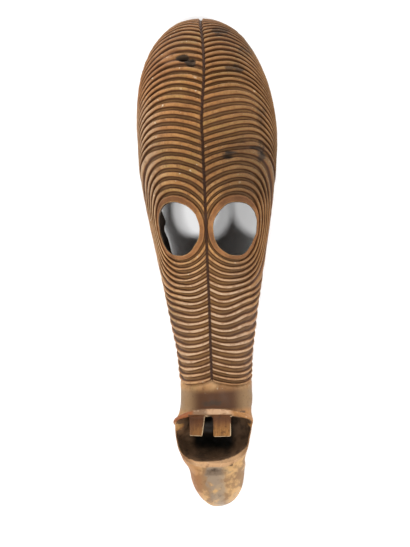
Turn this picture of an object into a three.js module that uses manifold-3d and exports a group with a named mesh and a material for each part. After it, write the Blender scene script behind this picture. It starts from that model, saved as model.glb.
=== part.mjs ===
// A tall carved wooden face mask, lying face up on its open back.
// The face is a long hollow shell with a domed forehead that narrows down to a muzzle. It is covered in
// curved ribs that spring from a groove down the middle and wrap round two large eye holes. The mouth is
// open, with two square upper teeth over a bowl-shaped lower jaw, and the chin is a long rounded nub.
// Millimetres. +Z points out of the face, +Y to the top of the head, +X to the viewer's right.
// The origin is on the floor, in the middle of the mask's length and width.
import * as THREE from "three";
import { mergeVertices } from "three/addons/utils/BufferGeometryUtils.js";
import Module from "manifold-3d";

const wasm = await Module();
wasm.setup();

// Driving dimensions
const TOP = 348; // top of the head
const BOTTOM = -352; // tip of the chin
const HALF_WIDTH = 98.5; // widest, at the forehead
const WIDEST_AT = 178;
const CROWN = 110; // forehead's height above the floor
const DOME_FROM = 205; // where the forehead starts to round over to the top
const WALL = 11; // wood left at the sides
const CROWN_WALL = 12; // wood left at the front
const RIM_ANGLE = 108; // rib angle at the open back: 0 is the middle groove, 90 the widest point
const CURL = 0.09; // share of the half width by which the sides curl in at the back
const CHIN_FROM = -300; // where the chin starts to round over to its tip

// How squarely the ends round over: 2 is an ellipse, more is boxier
const HEAD_OUTLINE_POWER = 2.1;
const HEAD_PROFILE_POWER = 2;
const CHIN_OUTLINE_POWER = 1.9;
const CHIN_PROFILE_POWER = 2.4;
const KEEL_POWER = 12; // how narrow the raised line down the middle of the nose is

// The back rim stands off the floor beside the eyes, where it is worn away
const RIM_ARCH = 2.5;
const ARCH_Y = 45;
const ARCH_REACH = 75; // how far each way from its middle
const RIM_FADE = 30; // height above the floor at which the lift has died out

// Ribs and grooves
const RIB_PITCH = 11; // from groove to groove along the forehead
const GROOVE_DEPTH = 3.4;
const GROOVE_SHARE = 0.27; // half a groove's width, as a share of the pitch
const SPINE_DEPTH = 4; // the groove down the middle
const SPINE_ANGLE = 2.6; // half its width, in degrees of rib angle
const TOP_RIBS = 29;
const LOWER_RIBS = 21;
const LOWER_PITCH = 6.2; // from groove to groove under the eyes
const LOWER_GROWTH = 0.115; // half of what that grows by from one groove to the next
const SHARED_RIBS = 7; // ribs that pass the eye on its outer side
const SPAN_STEPS = 9; // facets along each rib, from the middle to the open back
const PLAIN_FROM = -184; // where the ribs have ended
const PLAIN_ROWS = 15;
const PLAIN_CROWDING = 1.4; // above 1 the rows crowd towards the chin's tip
const PLAIN_STRAIGHT = 3; // rows in which the last rib's curve dies out

// Eye holes
const EYE_Y = 43;
const EYE_ANGLE = 29.5;
const EYE_INNER = 24; // half angle of the hole towards the middle
const EYE_OUTER = { 1: 23.5, "-1": 26 }; // half angle towards the side, for the right and the left eye
const EYE_HALF_HEIGHT = 37.5;
const EYE_CORNERS = 26;
const EYE_CUT_GROWTH = 1.02; // the straight cuts are a little larger than the innermost row of points
const EYE_CUT_FROM = 12; // they reach down to this height, inside the hollow

// Mouth, lips and teeth. A lip's edge lies in a plane through the corner and the lip's tip.
const CORNER = new THREE.Vector2(-229, 40); // y and z where the two jaws meet
const UPPER_LIP = new THREE.Vector2(-211, 72);
const LOWER_LIP = new THREE.Vector2(-283, 64.5);
const UPPER_LIP_THICKNESS = 6.2;
const LOWER_LIP_THICKNESS = 2.6;
const LIP_OVERRUN = 40; // how far past its tip a lip's band is drawn before it is trimmed
const UPPER_LIP_PROUD = { left: 3, middle: 3.8, right: 0.6 }; // how far the lips stand out of the muzzle
const LOWER_LIP_PROUD = { left: 0.2, middle: 0.9, right: 0.2 };
const PROUD_SIDES = [35, 80]; // rib angles between which the middle's value passes into a side's
const GAP_REACH = [90, 135]; // how far the gap's upper and lower planes run from the corner
const MUZZLE_TOP = -180; // stretch of the form that the lips and the mouth's hollow follow
const MUZZLE_BOTTOM = -306;
const MUZZLE_BREADTH = 180; // more than the muzzle is wide
const MUZZLE_SPANS = 10;
const MUZZLE_FACETS = 7; // from the middle to one side
const JAW_WALL = 2.2;
const BOWL_STEPS = 9; // facets of the mouth's hollow from its front to its back
const MOUTH_BACK = -217; // the mouth's hollow stays in front of this
const MOUTH_CENTRE = new THREE.Vector3(-16, -236, 68);
const MOUTH_RADII = new THREE.Vector3(90, 43, 59);
const MOUTH_RIGHT = 68.5; // the hollow reaches less far to the right
const LUMPS = [
  // wood left standing in the mouth's left and right corner
  { centre: new THREE.Vector3(-68, -227, 19), radii: new THREE.Vector3(32, 27, 31) },
  { centre: new THREE.Vector3(54, -229, 24), radii: new THREE.Vector3(17, 13, 24) },
];
const LUMP_STEPS = 4;
// a shallow dip under the lower lip
const RECESS = { centre: new THREE.Vector3(-8, -291, 63.5), radii: new THREE.Vector3(15, 4.5, 4.6) };
const TEETH = [
  // x at the root and at the end, y of the end, and height of the front at its left and right
  { left: -39, right: -15, leftEnd: -39.2, rightEnd: -21.5, end: -243.6, leftFront: 60, rightFront: 66 },
  { left: -5.6, right: 19.8, leftEnd: -6.2, rightEnd: 18.2, end: -244.3, leftFront: 67.5, rightFront: 65 },
];
const TOOTH_ROOT = -208;
const TOOTH_THICKNESS = 9;
const TOOTH_SINK = 3; // the root lies this much lower than the end

// The hollow behind the face
const HOLLOW_TOP = 337;
const HOLLOW_BOTTOM = -209;
const HOLLOW_ROUNDS_FROM = -178;
const HOLLOW_END_POWER = 2.2;
const HOLLOW_END_GAP = 0.5; // the first and last rings stop this far short of its ends
const HOLLOW_SPANS = 17;
const HOLLOW_FACETS = 8; // from the middle to one side
const HOLLOW_CURL = 0.6; // share of the left wall's extra curl that the hollow follows
const BELOW_FLOOR = -6;

// The whole face leans a little: each step to the right lowers a point by this share of it
const LEAN = 0.03;

const DEGREE = Math.PI / 180;
const clamp = (t, low, high) => Math.min(high, Math.max(low, t));
const mix = (a, b, t) => a + (b - a) * t;

// Smooth curve through [position, value] pairs that never overshoots them
function curve(table) {
  const n = table.length;
  const slope = [];
  for (let i = 0; i < n - 1; i++) {
    slope.push((table[i + 1][1] - table[i][1]) / (table[i + 1][0] - table[i][0]));
  }
  const tangent = table.map((_, i) => {
    if (i === 0 || i === n - 1) return slope[i === 0 ? 0 : n - 2];
    const [a, b] = [slope[i - 1], slope[i]];
    return a * b <= 0 ? 0 : (2 * a * b) / (a + b);
  });
  return (x) => {
    if (x <= table[0][0]) return table[0][1];
    if (x >= table[n - 1][0]) return table[n - 1][1];
    let i = 0;
    while (x > table[i + 1][0]) i++;
    const span = table[i + 1][0] - table[i][0];
    const t = (x - table[i][0]) / span;
    const [p, q] = [table[i][1], table[i + 1][1]];
    return (
      p * (1 + 2 * t) * (1 - t) ** 2 +
      q * (3 - 2 * t) * t * t +
      span * (tangent[i] * t * (1 - t) ** 2 - tangent[i + 1] * t * t * (1 - t))
    );
  };
}

// A rounded end: 1 at t = 0, 0 at t = 1
const rounded = (t, power) => (1 - clamp(t, 0, 1) ** power) ** (1 / power);

// Form of the mask, from the chin up to the forehead
const sideCurve = curve([
  [-300, 38.3], [-290, 40.6], [-284, 42.3], [-272, 45.6], [-256, 50.2], [-240, 53.3], [-226, 54.4],
  [-211, 50.4], [-195, 51], [-185, 50.6], [-156, 52], [-127, 54.5], [-98, 59], [-55, 66], [2, 76],
  [45, 84], [88, 91], [130, 96.5], [178, 98.5],
]);
const crownCurve = curve([
  [-300, 59], [-270, 66], [-232, 70], [-200, 66], [-185, 67], [-127, 76], [-55, 88], [45, 102], [130, 108],
  [205, 110],
]);
const centreCurve = curve([
  [-350, -3], [-316, -4], [-291, -4.5], [-278, -7.6], [-256, -7.8], [-235, -6.6], [-213, -3.2], [-195, -0.7],
  [60, -0.3], [120, -0.2], [145, 0.2], [170, 1.3], [200, 0.8], [270, -1.6], [340, -2.6],
]);
// How square the section is: 2 is an ellipse, more is boxier
const squareCurve = curve([
  [-325, 2.1], [-300, 2.3], [-284, 3], [-264, 2.8], [-232, 2.35], [-200, 2.25], [-170, 2],
]);
// How much more the left wall curls in at its foot than the right one
const leftCurl = curve([[-130, 0], [-60, 0.07], [5, 0.105], [45, 0.06], [75, 0.055], [130, 0.03], [180, 0]]);
const curl = (side, y) => CURL + (side < 0 ? leftCurl(y) : 0);
// Height of the widest point, as a share of the crown's
const widestCurve = curve([
  [-325, 0.3], [-296, 0.36], [-280, 0.6], [-262, 0.75], [-245, 0.7], [-229, 0.6], [-214, 0.45], [-198, 0.33],
  [-184, 0.3],
]);
// How far the middle groove wanders to the side
const spineCurve = curve([
  [-165, -4.5], [-110, -3.8], [-50, -3.1], [0, -3.1], [50, -2.7], [100, -2.6], [145, -3.2], [180, -4.6],
  [200, -3], [220, -0.8], [240, 2.2], [275, 4.4], [300, 3.9], [335, 1],
]);
const keelCurve = curve([[-215, 0], [-170, 3], [-100, 6], [0, 5], [50, 3], [110, 0]]);

function halfWidth(y) {
  if (y > WIDEST_AT) {
    return HALF_WIDTH * rounded((y - WIDEST_AT) / (TOP - WIDEST_AT), HEAD_OUTLINE_POWER);
  }
  if (y < CHIN_FROM) {
    return sideCurve(CHIN_FROM) * rounded((CHIN_FROM - y) / (CHIN_FROM - BOTTOM), CHIN_OUTLINE_POWER);
  }
  return sideCurve(y);
}

function crown(y) {
  if (y > DOME_FROM) return CROWN * rounded((y - DOME_FROM) / (TOP - DOME_FROM), HEAD_PROFILE_POWER);
  if (y < CHIN_FROM) {
    return crownCurve(CHIN_FROM) * rounded((CHIN_FROM - y) / (CHIN_FROM - BOTTOM), CHIN_PROFILE_POWER);
  }
  return crownCurve(y);
}

// A point of the plain form, before ribs: side is 1 or -1, angle the rib angle in degrees
function form(side, angle, y) {
  const wide = halfWidth(y);
  const high = crown(y);
  const low = widestCurve(y) * high;
  const x = side * wide;
  if (angle > 90) {
    const t = (angle - 90) / (RIM_ANGLE - 90);
    return new THREE.Vector3(centreCurve(y) + x * (1 - curl(side, y) * t * t), y, low * (1 - t));
  }
  const power = 2 / squareCurve(y);
  const c = Math.max(0, Math.cos(angle * DEGREE));
  const s = Math.sin(angle * DEGREE);
  return new THREE.Vector3(
    centreCurve(y) + spineCurve(y) * c * c + x * Math.sign(s) * Math.abs(s) ** power,
    y,
    low + (high - low) * c ** power + keelCurve(y) * c ** KEEL_POWER,
  );
}

// The same point moved out of the surface by lift, staying on the floor where it stands on it
function skin(side, angle, y, lift) {
  const point = form(side, angle, y);
  if (lift === 0) return point;
  const step = 0.5;
  const near = Math.min(y, TOP - 2 * step);
  const across = form(side, angle + step, near).sub(form(side, angle - step, near));
  const along = form(side, angle, near + step).sub(form(side, angle, near - step));
  const out = across.cross(along).normalize().multiplyScalar(side * lift);
  const onFloor = angle > RIM_ANGLE - 1e-6;
  point.add(out);
  if (onFloor) point.z = 0;
  return point;
}

// Lifts the lower edge of the sides off the floor beside the eyes
function archRim(point) {
  const share = clamp(1 - point.z / RIM_FADE, 0, 1);
  point.z += share * RIM_ARCH * Math.exp(-(((point.y - ARCH_Y) / ARCH_REACH) ** 4));
  return point;
}

// Stations up the forehead, an equal way apart along its curve, starting at the top of the eyes
function stationsUpForehead(count, pitch) {
  const fine = 0.02;
  const highest = TOP - 1;
  const stations = [EYE_Y + EYE_HALF_HEIGHT];
  let gone = 0;
  for (let y = stations[0]; y < highest && stations.length <= count; y += fine) {
    gone += Math.hypot(fine, crown(y + fine) - crown(y));
    if (gone < pitch) continue;
    stations.push(y);
    gone -= pitch;
  }
  while (stations.length <= count) stations.push(highest);
  return stations;
}
const foreheadStations = stationsUpForehead(TOP_RIBS, RIB_PITCH);

function foreheadReach(v) {
  const i = Math.floor(v);
  return mix(foreheadStations[i], foreheadStations[Math.min(i + 1, TOP_RIBS)], v - i) - EYE_Y;
}

// Each rib is an arc over or under the eye. Its bend says how fast it falls away from its highest point,
// in millimetres for each degree squared, and its roundness how much of an ellipse it is.
const topMiddle = curve([[0, EYE_ANGLE], [5, 27], [10, 24], [16, 22], [29, 25]]);
const lowMiddle = curve([[0, EYE_ANGLE], [2, 31], [5, 37], [9, 42], [14, 45], [21, 46]]);
const topInner = curve([[0, EYE_INNER], [1, 29.5], [2, 34], [3, 39], [4, 45], [5, 53], [6, 59.5], [7, 65]]);
const lowInner = curve([[0, EYE_INNER], [1, 29.3], [2, 35], [3, 41], [5, 55], [7, 72]]);
const topBend = curve([[7, 0.0088], [10, 0.0125], [14, 0.015], [19, 0.0145], [24, 0.0075], [29, 0.001]]);
const lowBend = curve([[7, 0.0095], [9, 0.0085], [13, 0.0062], [18, 0.005], [21, 0.0045]]);
const topInnerBend = curve([[7, 0.0136], [10, 0.015], [14, 0.0155], [19, 0.0145], [24, 0.0075], [29, 0.001]]);
const lowInnerBend = curve([[7, 0.0085], [11, 0.006], [14, 0.005], [18, 0.0042], [21, 0.0038]]);
const stretch = curve([[7, 1], [8, 1.35], [10, 2.1], [14, 4], [29, 4]]);
const squareness = curve([[0, 2.15], [3, 2.5], [7, 2.3], [12, 2]]);

// Rib angle at which each rib that passes the eye crosses its outer side
const BESIDE_EYE = {
  1: [[1, 56.8], [2, 61.2], [3, 65.4]],
  "-1": [[1, 57.8], [2, 61.8], [3, 65.6]],
};
const outerAngles = (side) => [
  [0, EYE_ANGLE + EYE_OUTER[side]], ...BESIDE_EYE[side], [4, 69.8], [5, 74.6], [6, 83], [7, RIM_ANGLE],
];
const besideEye = { 1: curve(outerAngles(1)), "-1": curve(outerAngles(-1)) };

// The shape of rib v over the eye (up = 1) or under it (up = -1)
function rib(side, up, v) {
  const top = up > 0;
  const middle = (top ? topMiddle : lowMiddle)(v);
  const reach = top ? foreheadReach(v) : EYE_HALF_HEIGHT + v * LOWER_PITCH + v * v * LOWER_GROWTH;
  const tall = reach * stretch(v);
  const square = top ? 2 : squareness(v);
  if (v < SHARED_RIBS) {
    const outer = besideEye[side](v) - middle;
    const byEye = middle - (1 - v) * (EYE_ANGLE - EYE_INNER);
    const inner = v <= 1 ? byEye : (top ? topInner : lowInner)(v);
    return { middle, reach, tall, outer, inner, square };
  }
  const outer = Math.max(Math.sqrt(tall / (2 * (top ? topBend : lowBend)(v))), RIM_ANGLE - middle);
  const inner = Math.sqrt(tall / (2 * (top ? topInnerBend : lowInnerBend)(v)));
  return { middle, reach, tall, outer, inner, square };
}

// How far the surface lies below the ribs' tops: v is whole in the middle of a groove
function grooveLift(v) {
  if (v < 0.5) return 0;
  const away = Math.abs(v - Math.round(v));
  return -GROOVE_DEPTH * clamp(1 - away / GROOVE_SHARE, 0, 1);
}

// Points along one rib, from the middle groove or the eye's inner side out to the open back
function ribRow(side, up, v) {
  const { middle, reach, tall, outer, inner, square } = rib(side, up, v);
  const fromTurn = inner > middle ? Math.acos(-middle / inner) : Math.PI;
  const toTurn = v <= SHARED_RIBS ? 0 : Math.acos(clamp((RIM_ANGLE - middle) / outer, -1, 1));
  const besideSpine = -(middle - SPINE_ANGLE) / inner;
  const first = besideSpine > -1 ? Math.acos(besideSpine) : mix(fromTurn, toTurn, 1 / (2 * SPAN_STEPS));
  const turns = [fromTurn];
  for (let i = 0; i <= SPAN_STEPS; i++) turns.push(mix(first, toTurn, i / SPAN_STEPS));
  return turns.map((turn, i) => {
    const c = Math.cos(turn);
    const s = Math.max(0, Math.sin(turn));
    const onSpine = i === 0 && v >= 1;
    const atRim = i === turns.length - 1;
    let angle = middle + (c > 0 ? outer * c : inner * c);
    if (onSpine) angle = 0;
    if (atRim && v > SHARED_RIBS) angle = RIM_ANGLE;
    const y = EYE_Y + up * (reach - tall + tall * s ** (2 / square));
    return archRim(skin(side, angle, y, onSpine ? -SPINE_DEPTH : grooveLift(v)));
  });
}

// Places across the ribs: three lines to a rib show its groove and its flat top
function ribLines(from, to) {
  const lines = [];
  for (let k = from; k < to; k++) for (const t of [0, GROOVE_SHARE, 1 - GROOVE_SHARE]) lines.push(k + t);
  return [...lines, to];
}

// Rows below the last lower rib, which straighten out towards the mouth and run down to the chin
function plainRow(side, y, straight) {
  const last = rib(side, -1, LOWER_RIBS);
  const points = [];
  const angles = [0, SPINE_ANGLE];
  for (let i = 1; i <= SPAN_STEPS; i++) angles.push(mix(SPINE_ANGLE, RIM_ANGLE, i / SPAN_STEPS));
  for (const angle of angles) {
    const drop = ((angle - last.middle) ** 2 * last.tall) / (2 * last.outer ** 2);
    points.push(form(side, angle, y + drop * (1 - straight)));
  }
  return points;
}

// Collects triangles between rows of points and closes them into one solid
class Soup {
  constructor() {
    this.positions = [];
  }
  triangle(a, b, c) {
    for (const p of [a, b, c]) this.positions.push(p.x, p.y, p.z);
  }
  between(rowA, rowB, flip) {
    for (let i = 0; i < rowA.length - 1; i++) {
      const [a, b, c, d] = [rowA[i], rowA[i + 1], rowB[i + 1], rowB[i]];
      if (flip) {
        this.triangle(a, c, b);
        this.triangle(a, d, c);
      } else {
        this.triangle(a, b, c);
        this.triangle(a, c, d);
      }
    }
  }
  solid() {
    const soup = new THREE.BufferGeometry();
    soup.setAttribute("position", new THREE.Float32BufferAttribute(this.positions, 3));
    return solidOf(soup);
  }
}

// A closed three.js geometry as a solid that can be cut and joined
function solidOf(geometry) {
  const bare = geometry.index ? geometry.toNonIndexed() : geometry.clone();
  bare.deleteAttribute("normal");
  bare.deleteAttribute("uv");
  const merged = mergeVertices(bare, 1e-4);
  const index = merged.index.array;
  const kept = [];
  for (let i = 0; i < index.length; i += 3) {
    const [a, b, c] = [index[i], index[i + 1], index[i + 2]];
    if (a !== b && b !== c && c !== a) kept.push(a, b, c);
  }
  return new wasm.Manifold(
    new wasm.Mesh({
      numProp: 3,
      vertProperties: merged.attributes.position.array,
      triVerts: new Uint32Array(kept),
    }),
  );
}

// Heights up the mask of the plain rows, from the last rib down to just short of the chin's tip
function plainHeights() {
  const heights = [];
  for (let k = 0; k < PLAIN_ROWS; k++) {
    heights.push(mix(BOTTOM, PLAIN_FROM, (1 - k / PLAIN_ROWS) ** PLAIN_CROWDING));
  }
  return heights;
}

// The outside of the mask, filled in down to the floor
function outerSolid() {
  const soup = new Soup();
  const topLines = ribLines(0, TOP_RIBS);
  const lowLines = ribLines(0, LOWER_RIBS);
  const rims = { 1: { 1: [], "-1": [] }, "-1": { 1: [], "-1": [] } };
  for (const side of [1, -1]) {
    for (const up of [1, -1]) {
      const rows = (up > 0 ? topLines : lowLines).map((v) => {
        const row = ribRow(side, up, v);
        if (v >= SHARED_RIBS) rims[up][side].push(row[row.length - 1]);
        return row;
      });
      const eye = form(side, EYE_ANGLE, EYE_Y);
      rows.unshift(rows[0].map(() => eye));
      if (up < 0) {
        plainHeights().forEach((y, k) => {
          const row = plainRow(side, y, clamp((k + 1) / PLAIN_STRAIGHT, 0, 1));
          rims[up][side].push(row[row.length - 1]);
          rows.push(row);
        });
      }
      const tip = up > 0 ? TOP : BOTTOM;
      const end = new THREE.Vector3(centreCurve(tip), tip, 0);
      rims[up][side].push(end);
      rows.push(rows[0].map(() => end));
      for (let j = 0; j < rows.length - 1; j++) soup.between(rows[j], rows[j + 1], side * up < 0);
    }
  }
  for (const up of [1, -1]) {
    const right = rims[up][1];
    const left = rims[up][-1];
    for (let k = 0; k < right.length - 1; k++) {
      soup.between([left[k], right[k]], [left[k + 1], right[k + 1]], up > 0);
    }
  }
  return soup.solid();
}

// A closed solid through rings of points, which run from the top down and each over from right to left
function loft(rings) {
  const soup = new Soup();
  const closed = rings.map((ring) => [...ring, ring[0]]);
  for (let k = 0; k < closed.length - 1; k++) soup.between(closed[k], closed[k + 1], false);
  const first = closed[0];
  const last = closed[closed.length - 1];
  const sumOf = (ring) => ring.reduce((sum, p) => sum.add(p), new THREE.Vector3());
  const middleOf = (ring) => sumOf(ring).divideScalar(ring.length);
  const top = middleOf(rings[0]);
  const bottom = middleOf(rings[rings.length - 1]);
  for (let i = 0; i < first.length - 1; i++) {
    soup.triangle(top, first[i + 1], first[i]);
    soup.triangle(bottom, last[i], last[i + 1]);
  }
  return soup.solid();
}

// The hollow's half width and height at y
function hollowSize(y) {
  const spread = (from) => from + ((y - from) * (TOP - from)) / (HOLLOW_TOP - from);
  let wide = halfWidth(y) - WALL;
  let high = crown(y) - CROWN_WALL;
  if (y > WIDEST_AT) wide = halfWidth(spread(WIDEST_AT)) * (1 - WALL / HALF_WIDTH);
  if (y > DOME_FROM) high = crown(spread(DOME_FROM)) * (1 - CROWN_WALL / CROWN);
  if (y < HOLLOW_ROUNDS_FROM) {
    const end = rounded((HOLLOW_ROUNDS_FROM - y) / (HOLLOW_ROUNDS_FROM - HOLLOW_BOTTOM), HOLLOW_END_POWER);
    wide *= end;
    high *= end;
  }
  return { wide, high };
}

// The hollow behind the face, open at the back
function hollowSolid() {
  const rings = [];
  for (let k = 0; k <= HOLLOW_SPANS; k++) {
    const t = (1 - Math.cos((Math.PI * k) / HOLLOW_SPANS)) / 2;
    const y = mix(HOLLOW_TOP - HOLLOW_END_GAP, HOLLOW_BOTTOM + HOLLOW_END_GAP, t);
    const { wide, high } = hollowSize(y);
    const low = widestCurve(y) * high;
    const centre = centreCurve(y);
    const right = centre + wide * (1 - curl(1, y));
    const left = centre - wide * (1 - mix(CURL, curl(-1, y), HOLLOW_CURL));
    const ring = [new THREE.Vector3(right, y, BELOW_FLOOR), new THREE.Vector3(right, y, 0)];
    for (let i = -HOLLOW_FACETS; i <= HOLLOW_FACETS; i++) {
      const angle = (i / HOLLOW_FACETS) * 90 * DEGREE;
      ring.push(new THREE.Vector3(centre - wide * Math.sin(angle), y, low + (high - low) * Math.cos(angle)));
    }
    ring.push(new THREE.Vector3(left, y, 0), new THREE.Vector3(left, y, BELOW_FLOOR));
    rings.push(ring);
  }
  return loft(rings);
}

// The muzzle's form, swollen or shrunk by one lift at each side and another in the middle
function muzzleSolid({ left, middle, right }) {
  const rings = [];
  for (let k = 0; k <= MUZZLE_SPANS; k++) {
    const y = mix(MUZZLE_TOP, MUZZLE_BOTTOM, k / MUZZLE_SPANS);
    const ring = [];
    for (let i = -MUZZLE_FACETS; i <= MUZZLE_FACETS; i++) {
      const side = i < 0 ? 1 : -1;
      const angle = Math.abs((i / MUZZLE_FACETS) * RIM_ANGLE);
      const share = THREE.MathUtils.smoothstep(angle, ...PROUD_SIDES);
      ring.push(skin(side, angle, y, mix(middle, side > 0 ? right : left, share)).setY(y));
    }
    const leftmost = ring[2 * MUZZLE_FACETS];
    const rightmost = ring[0];
    for (const corner of [leftmost, rightmost]) ring.push(new THREE.Vector3(corner.x, y, BELOW_FLOOR));
    rings.push(ring);
  }
  return loft(rings);
}
const evenly = (lift) => ({ left: lift, middle: lift, right: lift });

// A straight cut through the face in the shape of an eye
function eyeSolid(side) {
  const shape = new THREE.Shape();
  for (let i = 0; i < EYE_CORNERS; i++) {
    const turn = (i / EYE_CORNERS) * 2 * Math.PI;
    const c = Math.cos(turn);
    const angle = EYE_ANGLE + EYE_CUT_GROWTH * (c > 0 ? EYE_OUTER[side] : EYE_INNER) * c;
    const p = form(side, angle, EYE_Y + EYE_CUT_GROWTH * EYE_HALF_HEIGHT * Math.sin(turn));
    if (i === 0) shape.moveTo(p.x, p.y);
    else shape.lineTo(p.x, p.y);
  }
  const cut = new THREE.ExtrudeGeometry(shape, { depth: 2 * CROWN, bevelEnabled: false, curveSegments: 1 });
  return solidOf(cut.translate(0, 0, EYE_CUT_FROM));
}

// A flat shape seen from the side, as [y, z] corners, cut or built right across the muzzle
function acrossMuzzle(corners) {
  const shape = new THREE.Shape(corners);
  const slab = new THREE.ExtrudeGeometry(shape, { depth: MUZZLE_BREADTH, bevelEnabled: false });
  const turned = new THREE.Matrix4().makeBasis(
    new THREE.Vector3(0, 1, 0),
    new THREE.Vector3(0, 0, 1),
    new THREE.Vector3(1, 0, 0),
  );
  return solidOf(slab.applyMatrix4(turned).translate(-MUZZLE_BREADTH / 2, 0, 0));
}

// The gap between the jaws, a wedge that opens from the corner of the mouth
function gapSolid() {
  const upper = UPPER_LIP.clone().sub(CORNER).setLength(GAP_REACH[0]).add(CORNER);
  const lower = LOWER_LIP.clone().sub(CORNER).setLength(GAP_REACH[1]).add(CORNER);
  return acrossMuzzle([CORNER, lower, new THREE.Vector2(lower.x, upper.y), upper]);
}

// A lip stands a little out of the muzzle, in a flat band along the edge of the gap
function lipSolid(tip, away, thickness, proud) {
  const along = tip.clone().sub(CORNER).normalize();
  const back = new THREE.Vector2(-along.y, along.x).multiplyScalar(away * thickness);
  const start = along.clone().multiplyScalar(-thickness / 2).add(CORNER);
  const end = along.clone().multiplyScalar(LIP_OVERRUN).add(tip);
  const band = acrossMuzzle([start, end, end.clone().add(back), start.clone().add(back)]);
  return muzzleSolid(proud).intersect(band);
}

// A rounded lump or hollow, which may reach less far to the right than to the left
function ballSolid({ centre, radii }, steps, right = radii.x) {
  const ball = new THREE.SphereGeometry(1, 2 * steps, steps);
  const position = ball.attributes.position;
  for (let i = 0; i < position.count; i++) {
    const x = position.getX(i);
    position.setX(i, x * (x > 0 ? right : radii.x));
  }
  ball.scale(1, radii.y, radii.z);
  return solidOf(ball.translate(...centre.toArray()));
}

// The bowl of the mouth, in front of the upper lip and inside the jaw's wall
function bowlSolid() {
  const bowl = ballSolid({ centre: MOUTH_CENTRE, radii: MOUTH_RADII }, BOWL_STEPS, MOUTH_RIGHT);
  const high = 2 * CROWN;
  const keep = [
    new THREE.Vector2(MOUTH_BACK, -high),
    new THREE.Vector2(MOUTH_BACK, high),
    new THREE.Vector2(BOTTOM, high),
    new THREE.Vector2(BOTTOM, -high),
  ];
  return bowl.intersect(muzzleSolid(evenly(-JAW_WALL))).intersect(acrossMuzzle(keep));
}

// A square tooth, carved from the same wood and hanging from behind the upper lip
function toothSolid({ left, right, leftEnd, rightEnd, end, leftFront, rightFront }) {
  const ring = (leftX, rightX, y, sink) => [
    new THREE.Vector3(rightX, y, rightFront - sink),
    new THREE.Vector3(leftX, y, leftFront - sink),
    new THREE.Vector3(leftX, y, leftFront - sink - TOOTH_THICKNESS),
    new THREE.Vector3(rightX, y, rightFront - sink - TOOTH_THICKNESS),
  ];
  return loft([ring(left, right, TOOTH_ROOT, TOOTH_SINK), ring(leftEnd, rightEnd, end, 0)]);
}

function maskSolid() {
  const upperLip = lipSolid(UPPER_LIP, -1, UPPER_LIP_THICKNESS, UPPER_LIP_PROUD);
  const lowerLip = lipSolid(LOWER_LIP, 1, LOWER_LIP_THICKNESS, LOWER_LIP_PROUD);
  let mask = outerSolid().add(upperLip).add(lowerLip);
  mask = mask.subtract(gapSolid()).subtract(bowlSolid());
  for (const lump of LUMPS) {
    const inMuzzle = ballSolid(lump, LUMP_STEPS).intersect(muzzleSolid(evenly(0)));
    mask = mask.add(inMuzzle.trimByPlane([0, 0, 1], 0));
  }
  mask = mask.subtract(ballSolid(RECESS, LUMP_STEPS)).subtract(hollowSolid());
  for (const side of [1, -1]) mask = mask.subtract(eyeSolid(side));
  for (const tooth of TEETH) mask = mask.add(toothSolid(tooth));
  return mask;
}

// The finished solid as a mesh, leaned, and centred over the floor
function geometryOf(solid) {
  const { vertProperties, triVerts } = solid.getMesh();
  const indexed = new THREE.BufferGeometry();
  indexed.setAttribute("position", new THREE.BufferAttribute(vertProperties, 3));
  indexed.setIndex(new THREE.BufferAttribute(triVerts, 1));
  indexed.applyMatrix4(new THREE.Matrix4().makeShear(-LEAN, 0, 0, 0, 0, 0));
  const geometry = indexed.toNonIndexed();
  geometry.computeBoundingBox();
  const { min, max } = geometry.boundingBox;
  geometry.translate(-(min.x + max.x) / 2, -(min.y + max.y) / 2, -min.z);
  geometry.computeVertexNormals();
  return geometry;
}

const wood = new THREE.MeshStandardMaterial({ color: 0x9a6a3c, roughness: 0.55, metalness: 0 });
const mask = new THREE.Mesh(geometryOf(maskSolid()), wood);
mask.name = "carved_mask";

const group = new THREE.Group();
group.add(mask);
export default group;
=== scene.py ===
# A tall carved wooden face mask, lying face up on a pale floor and seen from above.
# The face is one closed mesh whose rows of points follow the ribs, so that the grooves stay crisp.
# The muzzle is built from solids, blended by a fine remesh, and joined on in the last groove.
# Shapes are worked out in millimetres about the form's own axis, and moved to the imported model's at the end.
import math

import bmesh
import bpy
import numpy as np
from mathutils import Matrix, Vector


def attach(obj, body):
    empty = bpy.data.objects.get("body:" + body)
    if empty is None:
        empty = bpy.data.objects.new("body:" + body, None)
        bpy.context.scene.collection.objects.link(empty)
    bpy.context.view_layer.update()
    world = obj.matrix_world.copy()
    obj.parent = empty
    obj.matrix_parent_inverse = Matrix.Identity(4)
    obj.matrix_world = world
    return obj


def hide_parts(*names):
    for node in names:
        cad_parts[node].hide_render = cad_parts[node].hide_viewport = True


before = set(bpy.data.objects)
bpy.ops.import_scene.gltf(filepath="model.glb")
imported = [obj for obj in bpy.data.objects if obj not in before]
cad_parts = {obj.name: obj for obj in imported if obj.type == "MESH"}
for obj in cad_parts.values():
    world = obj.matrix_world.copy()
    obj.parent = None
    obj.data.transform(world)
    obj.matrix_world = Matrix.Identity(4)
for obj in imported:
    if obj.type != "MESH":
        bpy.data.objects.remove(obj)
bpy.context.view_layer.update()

MM = 0.001

# Form
TOP = 348.0
BOTTOM = -352.0
HALF_WIDTH = 98.5
WIDEST_AT = 178.0
CROWN = 110.0
DOME_FROM = 205.0
WALL = 11.0
CROWN_WALL = 12.0
RIM_ANGLE = 108.0
CURL = 0.09
CHIN_FROM = -300.0
LEAN = 0.03  # each step to the right lowers a point by this share of it
PLACE = (-1.2, 1.92)  # where the form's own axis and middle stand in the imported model
SHARP_ANGLE = 60.0  # edges sharper than this aren't smoothed over

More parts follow.
